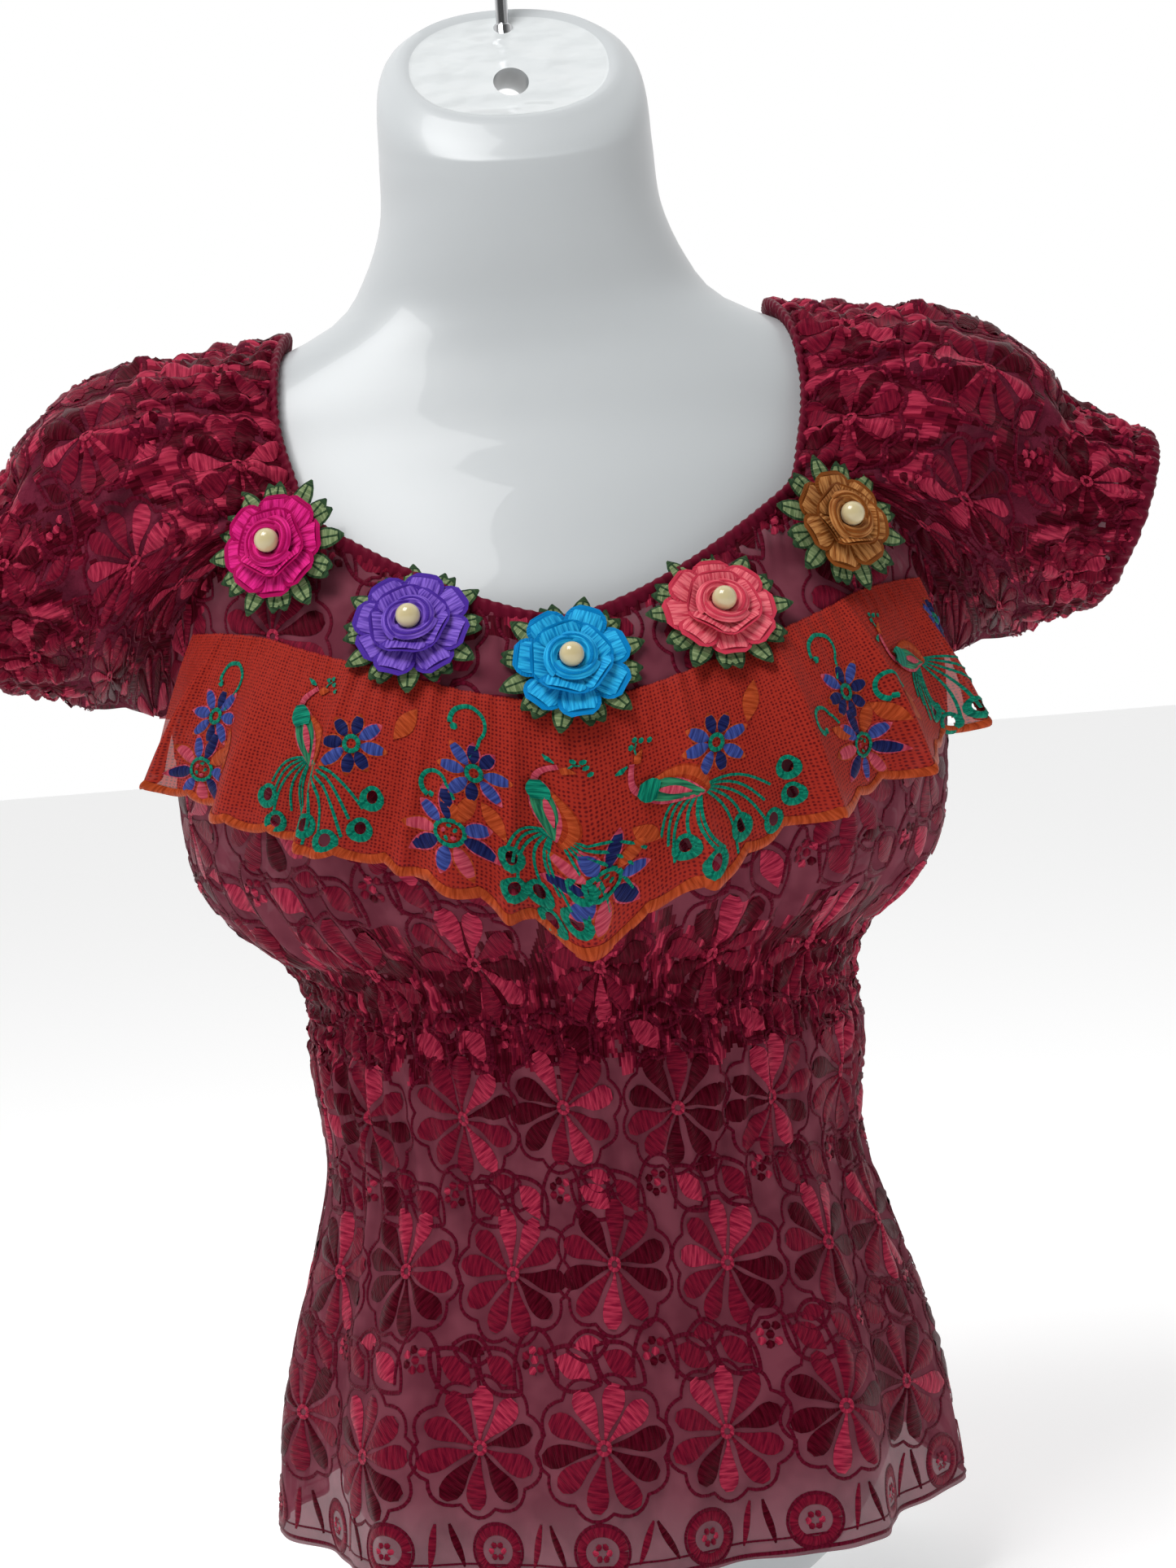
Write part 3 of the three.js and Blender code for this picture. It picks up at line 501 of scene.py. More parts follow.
def add_mesh(name, points, faces, uvs=None, materials=(), marks=None):
    """One object in metres from millimetre points and quads or triangles."""
    mesh = bpy.data.meshes.new(name)
    faces = np.asarray(faces, np.int32)
    mesh.vertices.add(len(points))
    mesh.vertices.foreach_set("co", (np.asarray(points) * MM).astype(np.float32).ravel())
    sides = faces.shape[1]
    mesh.loops.add(faces.size)
    mesh.loops.foreach_set("vertex_index", faces.ravel())
    mesh.polygons.add(len(faces))
    mesh.polygons.foreach_set("loop_start", np.arange(len(faces), dtype=np.int32) * sides)
    mesh.update(calc_edges=True)
    mesh.validate()
    for material in materials:
        mesh.materials.append(material)
    if marks is not None:
        mesh.polygons.foreach_set("material_index", np.asarray(marks, np.int32))
    soften(mesh)
    if uvs is not None:
        layer = mesh.uv_layers.new(name="Threads")
        layer.data.foreach_set("uv", np.asarray(uvs, np.float32)[faces.ravel()].ravel())
    return link(bpy.data.objects.new(name, mesh))


def grid_faces(rows, columns, closed=False, flip=False):
    """Quads of a grid of points, rows by columns, going round when closed."""
    j, i = np.meshgrid(np.arange(rows - 1), np.arange(columns if closed else columns - 1), indexing="ij")
    nxt = (i + 1) % columns
    low = j * columns
    high = low + columns
    quads = np.stack([low + i, low + nxt, high + nxt, high + i], axis=-1).reshape(-1, 4)
    return quads[:, ::-1] if flip else quads


class Threadwork:
    """Satin-stitched bands in a cloth's own flat coordinates, gathered into one mesh."""

    def __init__(self, materials):
        self.names = list(materials)
        self.materials = [materials[name] for name in self.names]
        self.places = []
        self.lifts = []
        self.uvs = []
        self.faces = []
        self.marks = []
        self.count = 0

    def band(self, path, half, crown, colour, lift=0.2, across=2, local=None, rise=None, crease=0.0):
        """A domed band along flat points, half its width at each, creased along its middle or not."""
        path = np.asarray(path, float)
        half = np.broadcast_to(np.asarray(half, float), (len(path),))
        steps = np.gradient(path, axis=0)
        sideways = unit(np.stack([-steps[:, 1], steps[:, 0]], axis=1))
        v = np.linspace(-1, 1, 2 * across + 1)
        spots = path[:, None, :] + sideways[:, None, :] * half[:, None, None] * v[None, :, None]
        run = np.concatenate([[0], np.cumsum(np.linalg.norm(np.diff(path, axis=0), axis=1))])
        height = lift + (crown * (1 - v ** 2) - crease * (v == 0))[None, :] * np.ones((len(path), 1))
        if rise is not None:
            height = height + np.asarray(rise, float)[:, None]
        flat = spots.reshape(-1, 2)
        if local is not None:
            flat = np.stack(local(flat[:, 0], flat[:, 1]), axis=1)
        self.places.append(flat)
        self.lifts.append(height.ravel())
        u = np.repeat(run[:, None], len(v), axis=1)
        w = half[:, None] * v[None, :]
        self.uvs.append(np.stack([u.ravel(), w.ravel()], axis=1))
        quads = grid_faces(len(path), len(v)) + self.count
        self.faces.append(quads[:, ::-1])
        self.marks.append(np.full(len(quads), self.names.index(colour)))
        self.count += len(flat)

    def mesh(self, name, place, keep=None, flip=False):
        """The mesh on its cloth, without what lies outside it."""
        flat = np.concatenate(self.places)
        lift = np.concatenate(self.lifts)
        faces = np.concatenate(self.faces)
        marks = np.concatenate(self.marks)
        if keep is not None:
            inside = keep(flat[:, 0], flat[:, 1])
            chosen = inside[faces].all(axis=1)
            faces = faces[chosen]
            marks = marks[chosen]
        points = place(flat[:, 0], flat[:, 1], lift)
        if flip:
            faces = faces[:, ::-1]
        used, faces = np.unique(faces, return_inverse=True)
        faces = faces.reshape(-1, 4)
        return add_mesh(name, points[used], faces, np.concatenate(self.uvs)[used], self.materials, marks)


def turned(points, degrees, x=0.0, y=0.0):
    """Flat points turned about the origin and then moved."""
    a = math.radians(degrees)
    points = np.asarray(points, float)
    return np.stack([points[:, 0] * math.cos(a) - points[:, 1] * math.sin(a) + x,
                     points[:, 0] * math.sin(a) + points[:, 1] * math.cos(a) + y], axis=1)


def new_material(name, colour, roughness, **inputs):
    material = bpy.data.materials.new(name)
    material.use_nodes = True
    shader = material.node_tree.nodes["Principled BSDF"]
    shader.inputs["Base Color"].default_value = linear(colour)
    shader.inputs["Roughness"].default_value = roughness
    for key, value in inputs.items():
        shader.inputs[key.replace("_", " ")].default_value = value
    return material


def bump(material, height, strength, distance):
    """Joins a height output to a material's normal."""
    tree = material.node_tree
    node = tree.nodes.new("ShaderNodeBump")
    node.inputs["Strength"].default_value = strength
    node.inputs["Distance"].default_value = distance
    tree.links.new(height, node.inputs["Height"])
    tree.links.new(node.outputs["Normal"], tree.nodes["Principled BSDF"].inputs["Normal"])


def blend(material, factor, low, high):
    """Shades a material's colour between two colours by a factor output."""
    tree = material.node_tree
    ramp = tree.nodes.new("ShaderNodeValToRGB")
    ramp.color_ramp.elements[0].color = linear(low)
    ramp.color_ramp.elements[1].color = linear(high)
    ramp.color_ramp.elements[0].position = 0.38
    ramp.color_ramp.elements[1].position = 0.62
    tree.links.new(factor, ramp.inputs["Fac"])
    tree.links.new(ramp.outputs["Color"], tree.nodes["Principled BSDF"].inputs["Base Color"])


def scaled(material, source, scale):
    """A coordinate output of a material, scaled by axis."""
    tree = material.node_tree
    coordinates = tree.nodes.new("ShaderNodeTexCoord")
    mapping = tree.nodes.new("ShaderNodeMapping")
    mapping.inputs["Scale"].default_value = scale
    tree.links.new(coordinates.outputs[source], mapping.inputs["Vector"])
    return mapping.outputs["Vector"]


def noise(material, source, scale, size=1.0, detail=3.0):
    node = material.node_tree.nodes.new("ShaderNodeTexNoise")
    node.inputs["Scale"].default_value = size
    node.inputs["Detail"].default_value = detail
    material.node_tree.links.new(scaled(material, source, scale), node.inputs["Vector"])
    return node.outputs["Fac"]


def satin_thread(name, low, high, lengthwise=False, roughness=0.42, level=0.2):
    """Satin stitches in two tones of one colour, laid side by side across the band or along it."""
    material = new_material(name, high, roughness, Specular_IOR_Level=level, Specular_Tint=linear(high))
    tones = (0.1, 0.85, 1) if lengthwise else (0.85, 0.1, 1)
    ridges = (0.08, 1.7, 1) if lengthwise else (1.7, 0.08, 1)
    blend(material, noise(material, "UV", tones, 1.0, 2.0), low, high)
    bump(material, noise(material, "UV", ridges, 1.0, 1.0), 0.9, 0.0005)
    return material


def sheer_net(name, low, high, cover, roughness=0.8):
    """Fine net, seen through between its threads."""
    material = new_material(
        name, high, roughness, Alpha=cover, Specular_IOR_Level=0.08, Specular_Tint=linear(high))
    blend(material, noise(material, "Object", (60, 60, 60), 1.0, 2.0), low, high)
    bump(material, noise(material, "Object", (1100, 1100, 1100), 1.0, 1.0), 0.35, 0.0002)
    return material


def hexagon_net(name, hole, thread):
    """Coarse net with round holes about 1.4 mm apart, the darker cloth showing through them."""
    material = new_material(
        name, thread, 0.55, Alpha=0.88, Specular_IOR_Level=0.25, Specular_Tint=linear(thread))
    tree = material.node_tree
    cells = tree.nodes.new("ShaderNodeTexVoronoi")
    cells.feature = "F1"
    cells.inputs["Scale"].default_value = 1.0
    cells.inputs["Randomness"].default_value = 0.25
    tree.links.new(scaled(material, "UV", (0.68, 0.68, 1)), cells.inputs["Vector"])
    ramp = tree.nodes.new("ShaderNodeValToRGB")
    ramp.color_ramp.elements[0].position = 0.2
    ramp.color_ramp.elements[0].color = linear(hole)
    ramp.color_ramp.elements[1].position = 0.42
    ramp.color_ramp.elements[1].color = linear(thread)
    tree.links.new(cells.outputs["Distance"], ramp.inputs["Fac"])
    tree.links.new(ramp.outputs["Color"], tree.nodes["Principled BSDF"].inputs["Base Color"])
    bump(material, cells.outputs["Distance"], 0.4, 0.0003)
    return material


def ride(obj):
    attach(obj, "root")
    return obj


# Embroidery of the cloth

DAISY_HALF = np.array((0.5, 0.9, 1.6, 2.5, 3.4, 4.1, 4.3, 3.8, 1.7))
DAISY_SIZE = 23.5
DAISY_PETALS = 10
ALMOND = domed(0.03, math.pi - 0.03, 9)


def ring_path(rx, ry, steps, wave=0.0, count=0, turn=0.0):
    t = np.linspace(0, FULL_TURN, steps + 1) + turn
    swell = 1 + wave * np.abs(np.cos(count * (t - turn) / 2)) if count else 1
    return pairs(rx * swell * np.cos(t), ry * swell * np.sin(t))


def knot(work, local, degrees, x, y, reach, fat, colour, lift=0.2, bow=0.1, crown=0.7):
    """A short fat stitch."""
    path = turned([(-reach, 0), (0, bow), (reach, 0)], degrees, x, y)
    work.band(path, (fat / 2, fat, fat / 2), crown, colour, lift, 1, local)


def daisy(work, local, rng, size, turn):
    """Ten satin petals round a small ring, with a scalloped cord round them all."""
    for k in range(DAISY_PETALS):
        angle = 90 + turn + 360 * k / DAISY_PETALS + rng.uniform(-3, 3)
        # Each petal takes the dark copy (painted shade), the mid copy or the bright copy (painted sheen);
        # upright petals take the bright copy more often, upward ones most, as if lit from above.
        upright = abs(math.sin(math.radians(angle)))
        lot = rng.random()
        tone = "mid"
        if upright > 0.85 and lot < (0.5 if math.sin(math.radians(angle)) > 0 else 0.25):
            tone = "bright"
        elif lot < 0.42:
            tone = "dark"
        elif lot > 0.94:
            tone = "bright"
        reach = size * rng.uniform(0.93, 1.03)
        run = np.linspace(3.3, reach, 9)
        path = turned(pairs(run, 0.25 * np.sin(run / 3)), angle)
        half = DAISY_HALF * size / DAISY_SIZE * rng.uniform(0.92, 1.05)
        crease = 0.55 if tone != "bright" and k % 2 else 0.0
        work.band(path, half, 0.8, tone, 0.25, 2, local, crease=crease)
    # The small ring is in the bright copy: painted sheen.
    work.band(ring_path(2.3, 2.3, 10), 0.9, 0.5, "bright", 0.4, 1, local)
    cord = ring_path(size - 0.6, size - 0.6, 60, 0.13, DAISY_PETALS, math.radians(90 + turn))
    work.band(cord, 0.7, 0.5, "cord", 0.2, 1, local)


def leaf(work, local, rng, x, y, degrees, size=1.0):
    """A leaf core in satin inside an almond of cord."""
    # The core takes the dark copy (painted shade), the mid copy or the bright copy (painted sheen) at
    # random.
    tone = rng.choice(["dark", "mid", "mid", "bright"])
    run = np.linspace(-7.8, 7.8, 9) * size
    core = turned(pairs(run, 0.9 * np.cos(run / 5)), degrees, x, y)
    work.band(core, 4.4 * size * ALMOND, 0.6, tone, 0.2, 2, local)
    side = np.linspace(-12, 12, 13) * size
    for way in (1, -1):
        edge = pairs(side, way * 7.6 * size * np.maximum(np.cos(side / size * math.pi / 24), 0) ** 0.85)
        work.band(turned(edge, degrees, x, y), 0.85, 0.6, "cord", 0.2, 1, local)


def rosette(work, local, rng, x, y, degrees):
    """Small knots in a ring, under a pointed arch of cord."""
    for k in range(7):
        a = FULL_TURN * k / 7
        cx = x + (4.3 * math.cos(a) if k else 0)
        cy = y + (4.0 * math.sin(a) if k else 0)
        degrees_in = rng.uniform(0, 180)
        # Each knot takes the dark copy (painted shade), the mid copy or the bright copy (painted sheen) at
        # random.
        knot(work, local, degrees_in, cx, cy, 1.6, 1.8, rng.choice(["dark", "mid", "bright"]), bow=0.2)
    t = np.linspace(-0.2, 1.2, 12)
    for way in (1, -1):
        arch = pairs(way * 9.5 * np.cos(t * QUARTER), -5 + 17 * np.sin(t * QUARTER))[:11]
        work.band(turned(arch, degrees, x, y), 0.85, 0.6, "cord", 0.2, 1, local)


def medallion(work, local, rng):
    """A ring with a knotted centre, of the border over the hem."""
    work.band(ring_path(12.2, 10.8, 26), 0.7, 0.5, "cord", 0.2, 1, local)
    work.band(ring_path(9.4, 8.2, 26), 2.0, 0.6, "mid", 0.2, 2, local)
    for k in range(6):
        a = FULL_TURN * k / 6
        # Every third knot is in the bright copy: painted sheen.
        tone = "mid" if k % 3 else "bright"
        knot(work, local, rng.uniform(0, 180), 3.0 * math.cos(a), 2.6 * math.sin(a), 1.2, 1.6, tone, 0.25)


def panel_embroidery(work, is_front, seed):
    """Rows of daisies with leaves and rosettes between, a border over the hem, and cords at the edges."""
    rng = np.random.default_rng(seed)
    half_width = ARCS[is_front][-1]

    def local_at(s0, z0, stretch=1.0):
        return lambda x, y: (s0 + stretch * x, z0 + y)

    for row in range(DAISY_ROWS):
        z0 = FIRST_DAISY_Z + DAISY_PITCH * row
        shift = 2.0 if row % 2 else -12.0
        if row == 2:
            shift = -20.0
        stretch = 1.16 if z0 < BUST_Z - 100 else 1.0
        count = int(half_width / DAISY_SPACING) + 2
        for k in range(-count, count + 1):
            s0 = k * DAISY_SPACING + shift + rng.uniform(-2.8, 2.8)
            if abs(s0) > half_width + 26:
                continue
            drop = rng.uniform(-5, 5)
            daisy(work, local_at(s0, z0 + drop, stretch), rng, DAISY_REACH, rng.uniform(-16, 16))
            mid = local_at(s0 + DAISY_SPACING / 2, z0 + DAISY_PITCH / 2 - 1, stretch)
            rosette(work, mid, rng, -1, 3, rng.uniform(-12, 12))
            leaf(work, mid, rng, -17, -1, rng.uniform(-58, -36), 1.08)
            leaf(work, mid, rng, 15, -1, rng.uniform(-52, -28), 1.12)
            leaf(work, mid, rng, -30, 7, rng.uniform(-20, 12), 0.75)
    steps = int(half_width / HEM_PITCH) + 1
    for k in range(-steps, steps + 1):
        s0 = k * HEM_PITCH + 8
        if k % 2:
            medallion(work, local_at(s0, 58), rng)
        else:
            # The stalk leaning one way is in the mid copy and the other in the dark copy: painted shade by
            # stitch direction.
            for tilt, x0, tone in ((66, -5, "mid"), (104, 5, "dark")):
                stalk = pairs(np.linspace(-9, 9, 7), domed(-1.5, 1.5, 7))
                stalk = turned(stalk, tilt + rng.uniform(-10, 10), x0)
                work.band(stalk, 1.6 * domed(0.3, 2.8, 7), 0.6, tone, 0.2, 1, local_at(s0, 60))
    side = np.linspace(HEM_Z + 2, 388, 170)
    for way in (1, -1):
        work.band(pairs(0 * side + way * (half_width - 0.9), side), 0.9, 0.7, "cord", 0.2, 1)
    hem = np.linspace(-half_width, half_width, 160)
    for height, half in ((HEM_Z + 2.2, 0.8), (HEM_Z + 7.5, 0.45)):
        work.band(pairs(hem, 0 * hem + height), half, 0.5, "cord", 0.2, 1)


class BlouseCloth(bpy.types.PropertyGroup):
    cover: FloatProperty(
        name="Net cover", description="Share of light that the net stops", default=0.88, min=0.3, max=1,
        subtype="FACTOR")
    columns: IntProperty(name="Columns", description="Points across a panel", default=400, min=60, max=440)


# One burgundy satin thread shown lit and shaded: the dark copy is painted shade and the bright copy painted
# sheen, as satin stitches catch light by their direction. The mid copy and the cord are the thread's own
# colour.
CLOTH_THREADS = {
    "dark": ("burgundy satin stitch in painted shade", "#38040F", "#560B1D"),
    "mid": ("burgundy satin stitch", "#5A0C22", "#80182F"),
    "bright": ("burgundy satin stitch with painted sheen", "#7C1430", "#B83650"),
    "cord": ("burgundy outline cord", "#4C0A1A", "#66122A"),
}


def shared(name, maker):
    """One material made the first time that it is asked for."""
    return bpy.data.materials.get(name) or maker()


def shared_thread(name, low, high):
    return shared(name, lambda: satin_thread(name, low, high))


def cloth_net():
    cover = bpy.context.scene.blouse_cloth.cover
    name = "sheer burgundy net"
    return shared(name, lambda: sheer_net(name, "#6A2E3C", "#7E3E4C", cover))


def crumpled_net():
    """The sleeves' net, drawn up into small wrinkles by the shirring on both sides of it."""
    material = sheer_net("crumpled burgundy net", "#4E1626", "#6E2438", 0.95)
    bump(material, noise(material, "Object", (150, 150, 150), 1.0, 4.0), 1.0, 0.005)
    return material


def cloth_threads():
    return {key: shared_thread(*look) for key, look in CLOTH_THREADS.items()}


def cloth_set(net):
    threads = cloth_threads()
    # Finishes by index: the net, the dark copy in painted shade, the mid copy, and the bright copy with
    # painted sheen.
    return [net, threads["dark"], threads["mid"], threads["bright"]]


def patches(across, up, shirred, crest, faces):
    """Which finish each face has: plain net, or scraps of the embroidery where shirring crowds it, in the
    bright copy on the gathers' crests and the dark copy in their hollows: painted highlight and painted
    shade.
    """
    n = waver(across / 4.1, up / 3.7, 2.9) + 0.5 * waver(across / 1.9, up / 2.1, 6.1)
    # Higher crests push a face towards the bright copy and hollows towards the dark copy: painted highlight
    # and painted shade, over a random tone.
    scrap_and_crest_shade = n + 1.1 * (crest - 0.45)
    scrap_and_crest_shade = scrap_and_crest_shade[faces].mean(axis=1)
    crowd = shirred[faces].mean(axis=1)
    marks = np.select([scrap_and_crest_shade > 0.55, scrap_and_crest_shade > -0.1, scrap_and_crest_shade > -1.15], [3, 2, 1], 0)
    bare = 1.6 * waver(across / 6.3, up / 5.2, 8.3)[faces].mean(axis=1) > 2.4 * (crowd - 0.35)
    return np.where(bare | (crowd < 0.12), 0, marks)


def build_panel(is_front):
    name = "front" if is_front else "back"
    columns = bpy.context.scene.blouse_cloth.columns
    flat_rows = np.concatenate(
        [np.linspace(HEM_Z, 240, 42), np.linspace(242, 302, 36), np.linspace(306, BUST_Z, 16)])
    rising = 24
    z_rows = np.concatenate([flat_rows, np.full(rising, BUST_Z)])
    rises = np.concatenate([np.zeros(len(flat_rows)), np.linspace(0, 1, rising + 1)[1:]])
    c = np.linspace(-1, 1, columns + 1)
    edge_angle, edge_z = top_edge(is_front, c)
    z = z_rows[:, None] + (edge_z[None, :] - 0.3 - z_rows[:, None]) * rises[:, None]
    plain = angle_of(is_front, c * ARCS[is_front][-1])[None, :]
    own = plain + (edge_angle[None, :] * 0.999 - plain) * rises[:, None]
    points = panel_place(is_front, own, z, 0 * z)
    faces = grid_faces(len(z_rows), columns + 1, flip=not is_front)
    arc = arc_of(is_front, own)
    uvs = pairs(arc.ravel(), z.ravel())
    band = smooth(240, 252, z) * (1 - smooth(290, 318, z))
    near_top = np.maximum(top_height(is_front, own) - z, 0)
    band = np.maximum(band, 0.8 * (1 - smooth(3, 16, near_top)))
    # The gathers' heights give the bright copy on crests and the dark copy in hollows: painted highlight
    # and painted shade.
    marks = patches(arc.ravel(), z.ravel(), band.ravel(), waist_gathers(arc, z).ravel() / 3, faces)
    finishes = cloth_set(cloth_net())
    shell = add_mesh(f"{name}_cloth", points.reshape(-1, 3), faces, uvs, finishes, marks)
    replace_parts(ride(shell), name)
    work = Threadwork(cloth_threads())
    panel_embroidery(work, is_front, 11 if is_front else 12)
    full = ARCS[is_front][-1]

    def place(s, height, lift):
        return panel_place(is_front, angle_of(is_front, np.clip(s, -full, full)), height, lift)

    def keep(s, height):
        angle = angle_of(is_front, np.clip(s, -full, full))
        return (np.abs(s) < full + 0.1) & (height > HEM_Z + 1) & (height < top_height(is_front, angle) - 1)

    threads = ride(work.mesh(f"{name}_embroidery", place, keep, not is_front))


def build_sleeve(mirror):
    name = "sleeve_left" if mirror > 0 else "sleeve_right"
    columns = 384
    shares = np.linspace(0, 1, 97)
    column = np.linspace(0, SLEEVE_COLUMNS, columns, endpoint=False)
    u, v = np.meshgrid(column, shares)
    points = sleeve_place(mirror, u, v, 0 * u)
    faces = grid_faces(len(shares), columns, closed=True, flip=mirror > 0)
    over = smooth(9, 15, u) * (1 - smooth(49, 55, u))
    shirred = np.maximum(1 - smooth(0.3, 0.44, v), smooth(0.62, 0.74, v)) * over
    shirred = np.maximum(shirred, smooth(0.68, 0.76, v))
    shirred = np.maximum(shirred, 0.4)
    across = u.ravel() * FINISH_ACROSS
    down = v.ravel() * FINISH_DOWN
    # The gathers' heights give the bright copy on crests and the dark copy in hollows: painted highlight
    # and painted shade.
    marks = patches(across, down, shirred.ravel(), sleeve_gathers(u, v).ravel() / 3, faces)
    finishes = cloth_set(shared("crumpled burgundy net", crumpled_net))
    shell = add_mesh(f"{name}_cloth", points.reshape(-1, 3), faces, pairs(across, down), finishes, marks)
    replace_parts(ride(shell), name)
    rng = np.random.default_rng(31 if mirror > 0 else 32)
    work = Threadwork(cloth_threads())

    def local_at(around, share):
        return lambda x, y: (around + x / STITCH_ACROSS, share + y / STITCH_DOWN)

    for row, share in enumerate((0.14, 0.46, 0.82)):
        for k in range(SLEEVE_DAISIES):
            around = (k + 0.5 * (row % 2)) * SLEEVE_COLUMNS / SLEEVE_DAISIES
            daisy(work, local_at(around, share), rng, SLEEVE_DAISY_REACH, rng.uniform(-15, 15))
            between = local_at(around + SLEEVE_COLUMNS / (2 * SLEEVE_DAISIES), share + 0.17)
            rosette(work, between, rng, 0, 0, 90)
            leaf(work, between, rng, -13, 6, 120, 0.8)
            leaf(work, between, rng, 13, -6, 40, 0.8)

    def keep(around, share):
        return (share > 0.012) & (share < 0.985)

    def place(around, share, lift):
        return sleeve_place(mirror, around, np.clip(share, 0, 1), lift)

    threads = ride(work.mesh(f"{name}_embroidery", place, keep, mirror > 0))


# Neckline and cuff casings

def eased(line, times):
    """A closed line with its corners eased."""
    for _ in range(times):
        line = 0.5 * line + 0.25 * (np.roll(line, 1, axis=0) + np.roll(line, -1, axis=0))
    return line


def heading(line):
    """The direction in which a closed line runs at each of its points."""
    return unit(np.roll(line, -1, axis=0) - np.roll(line, 1, axis=0))


def rolled_edge(name, centre, outs, downs, wide, thick):
    """A crinkled elastic casing round a closed line: outs and downs are its cross directions."""
    n = len(centre)
    sides = 10
    run = np.concatenate([[0], np.cumsum(np.linalg.norm(np.diff(centre, axis=0), axis=1))])
    rings = []
    for k in range(sides):
        a = FULL_TURN * k / sides
        crinkle = 1 + 0.45 * np.cos(FULL_TURN * run / 4.6 + 1.3 * waver(run / 11, 0 * run, 0.9 + 0.4 * k))
        rings.append(centre + outs * (thick * math.cos(a) * crinkle)[:, None]
                     + downs * (wide * math.sin(a) * (0.9 + 0.1 * crinkle))[:, None])
    j, i = np.meshgrid(np.arange(sides), np.arange(n), indexing="ij")
    nj = (j + 1) % sides
    ni = (i + 1) % n
    faces = np.stack([j * n + i, j * n + ni, nj * n + ni, nj * n + i], axis=-1).reshape(-1, 4)
    material = shared_thread("burgundy shirred casing", "#3E0A18", "#7C1A33")
    return ride(add_mesh(name, np.concatenate(rings), faces, None, [material]))


def build_casings():
    c = np.linspace(-0.5, 0.5, 241)[:-1]
    own, z = top_edge(True, c)
    front = panel_place(True, own, z - 3.5, 0 * z - 0.6)
    shares = np.linspace(0, 1, 181)[:-1]
    column = RAGLAN_COLUMNS + SHOULDER_COLUMNS * shares
    left = sleeve_middle(column, 0 * column + 0.012)
    own, z = top_edge(False, -c)
    back = panel_place(False, own, z - 3.5, 0 * z - 0.6)
    right = (left * np.array([-1, 1, 1]))[::-1]
    line = eased(np.concatenate([front, left, back, right]), 12)
    ahead = heading(line)
    middle = np.array([0, 0, 470.0])
    outs = line - middle
    outs[:, 2] = outs[:, 2] * 0.4
    outs = unit(outs - ahead * np.sum(outs * ahead, axis=1)[:, None])
    rolled_edge("neck_casing", line, outs, np.cross(ahead, outs), 4.2, 1.7)
    for mirror in (1, -1):
        side = "left" if mirror > 0 else "right"
        turn = np.linspace(0, SLEEVE_COLUMNS, 260, endpoint=False)
        ring = sleeve_place(1, turn, 0 * turn + 0.985, 0 * turn - 0.4)
        inner = sleeve_place(1, turn, 0 * turn + 0.95, 0 * turn - 0.4)
        ring = eased(ring, 6)
        axis = unit(ring - inner)
        outs = np.cross(heading(ring), axis)
        flip = np.array([mirror, 1, 1])
        rolled_edge(f"cuff_casing_{side}", ring * flip, outs * flip, axis * flip, 3.2, 1.5)


# Ruffle

def ruffle_threads():
    return {
        "blue": satin_thread("blue thread", "#28306A", "#43549C"),
        "teal": satin_thread("teal thread", "#065446", "#178A6E"),
        "orange": satin_thread("orange satin edge", "#8E3418", "#B84E2A"),
        "green": satin_thread("green thread", "#17503C", "#34845E", True),
        "pink": satin_thread("pink thread", "#9A2C42", "#C85464"),
        "navy": satin_thread("navy thread", "#12143A", "#222A5C"),
        "rust": satin_thread("rust thread", "#7E2412", "#A43A1E"),
    }


def thin_petal(work, local, degrees, start, reach, wide, colour, rim, x=0.0, y=0.0):
    """A narrow pointed petal in one colour with a rim of another."""
    run = np.linspace(start, reach, 7)
    shape = np.array((0.3, 0.78, 1.0, 1.0, 0.88, 0.58, 0.08))
    path = turned(pairs(run, 0 * run), degrees, x, y)
    work.band(path, (wide + 0.55) * shape, 0.4, rim, 0.2, 1, local)
    work.band(path[:-1], wide * shape[:-1], 0.6, colour, 0.35, 2, local)


def eight_petals(work, local, rng, size=1.0):
    """An eight-petalled flower, navy up and down and blue at the sides, round a teal eyelet."""
    for k in range(8):
        colour = "navy" if k % 4 == 2 or rng.random() < 0.25 else "blue"
        rim = "pink" if rng.random() < 0.3 else "orange"
        reach = (14.6 if colour == "blue" else 12.0) * size
        thin_petal(work, local, 45 * k + rng.uniform(-6, 6), 3.8 * size, reach, 2.35 * size, colour, rim)
    work.band(ring_path(2.8 * size, 2.8 * size, 12), 0.9, 0.6, "teal", 0.5, 1, local)


def long_cluster(work, local, rng, lean):
    """Long navy, blue and pink leaves round a teal oval."""
    colours = ("navy", "blue", "pink", "navy", "blue", "pink", "navy", "blue", "orange")
    for k, colour in enumerate(colours):
        reach = 18.5 if k % 3 != 1 else 15.5
        rim = "pink" if colour in ("navy", "blue") else "orange"
        thin_petal(work, local, lean + 40 * k + rng.uniform(-5, 5), 5.2, reach, 2.5, colour, rim)
    work.band(turned(ring_path(4.6, 5.4, 16), lean), 0.8, 0.6, "teal", 0.6, 1, local)
    for k in range(5):
        a = math.radians(72 * k + lean)
        tone = "pink" if k % 2 else "teal"
        knot(work, local, 60 * k, 2.2 * math.cos(a), 2.5 * math.sin(a), 0.9, 0.8, tone, 0.5, crown=0.6)


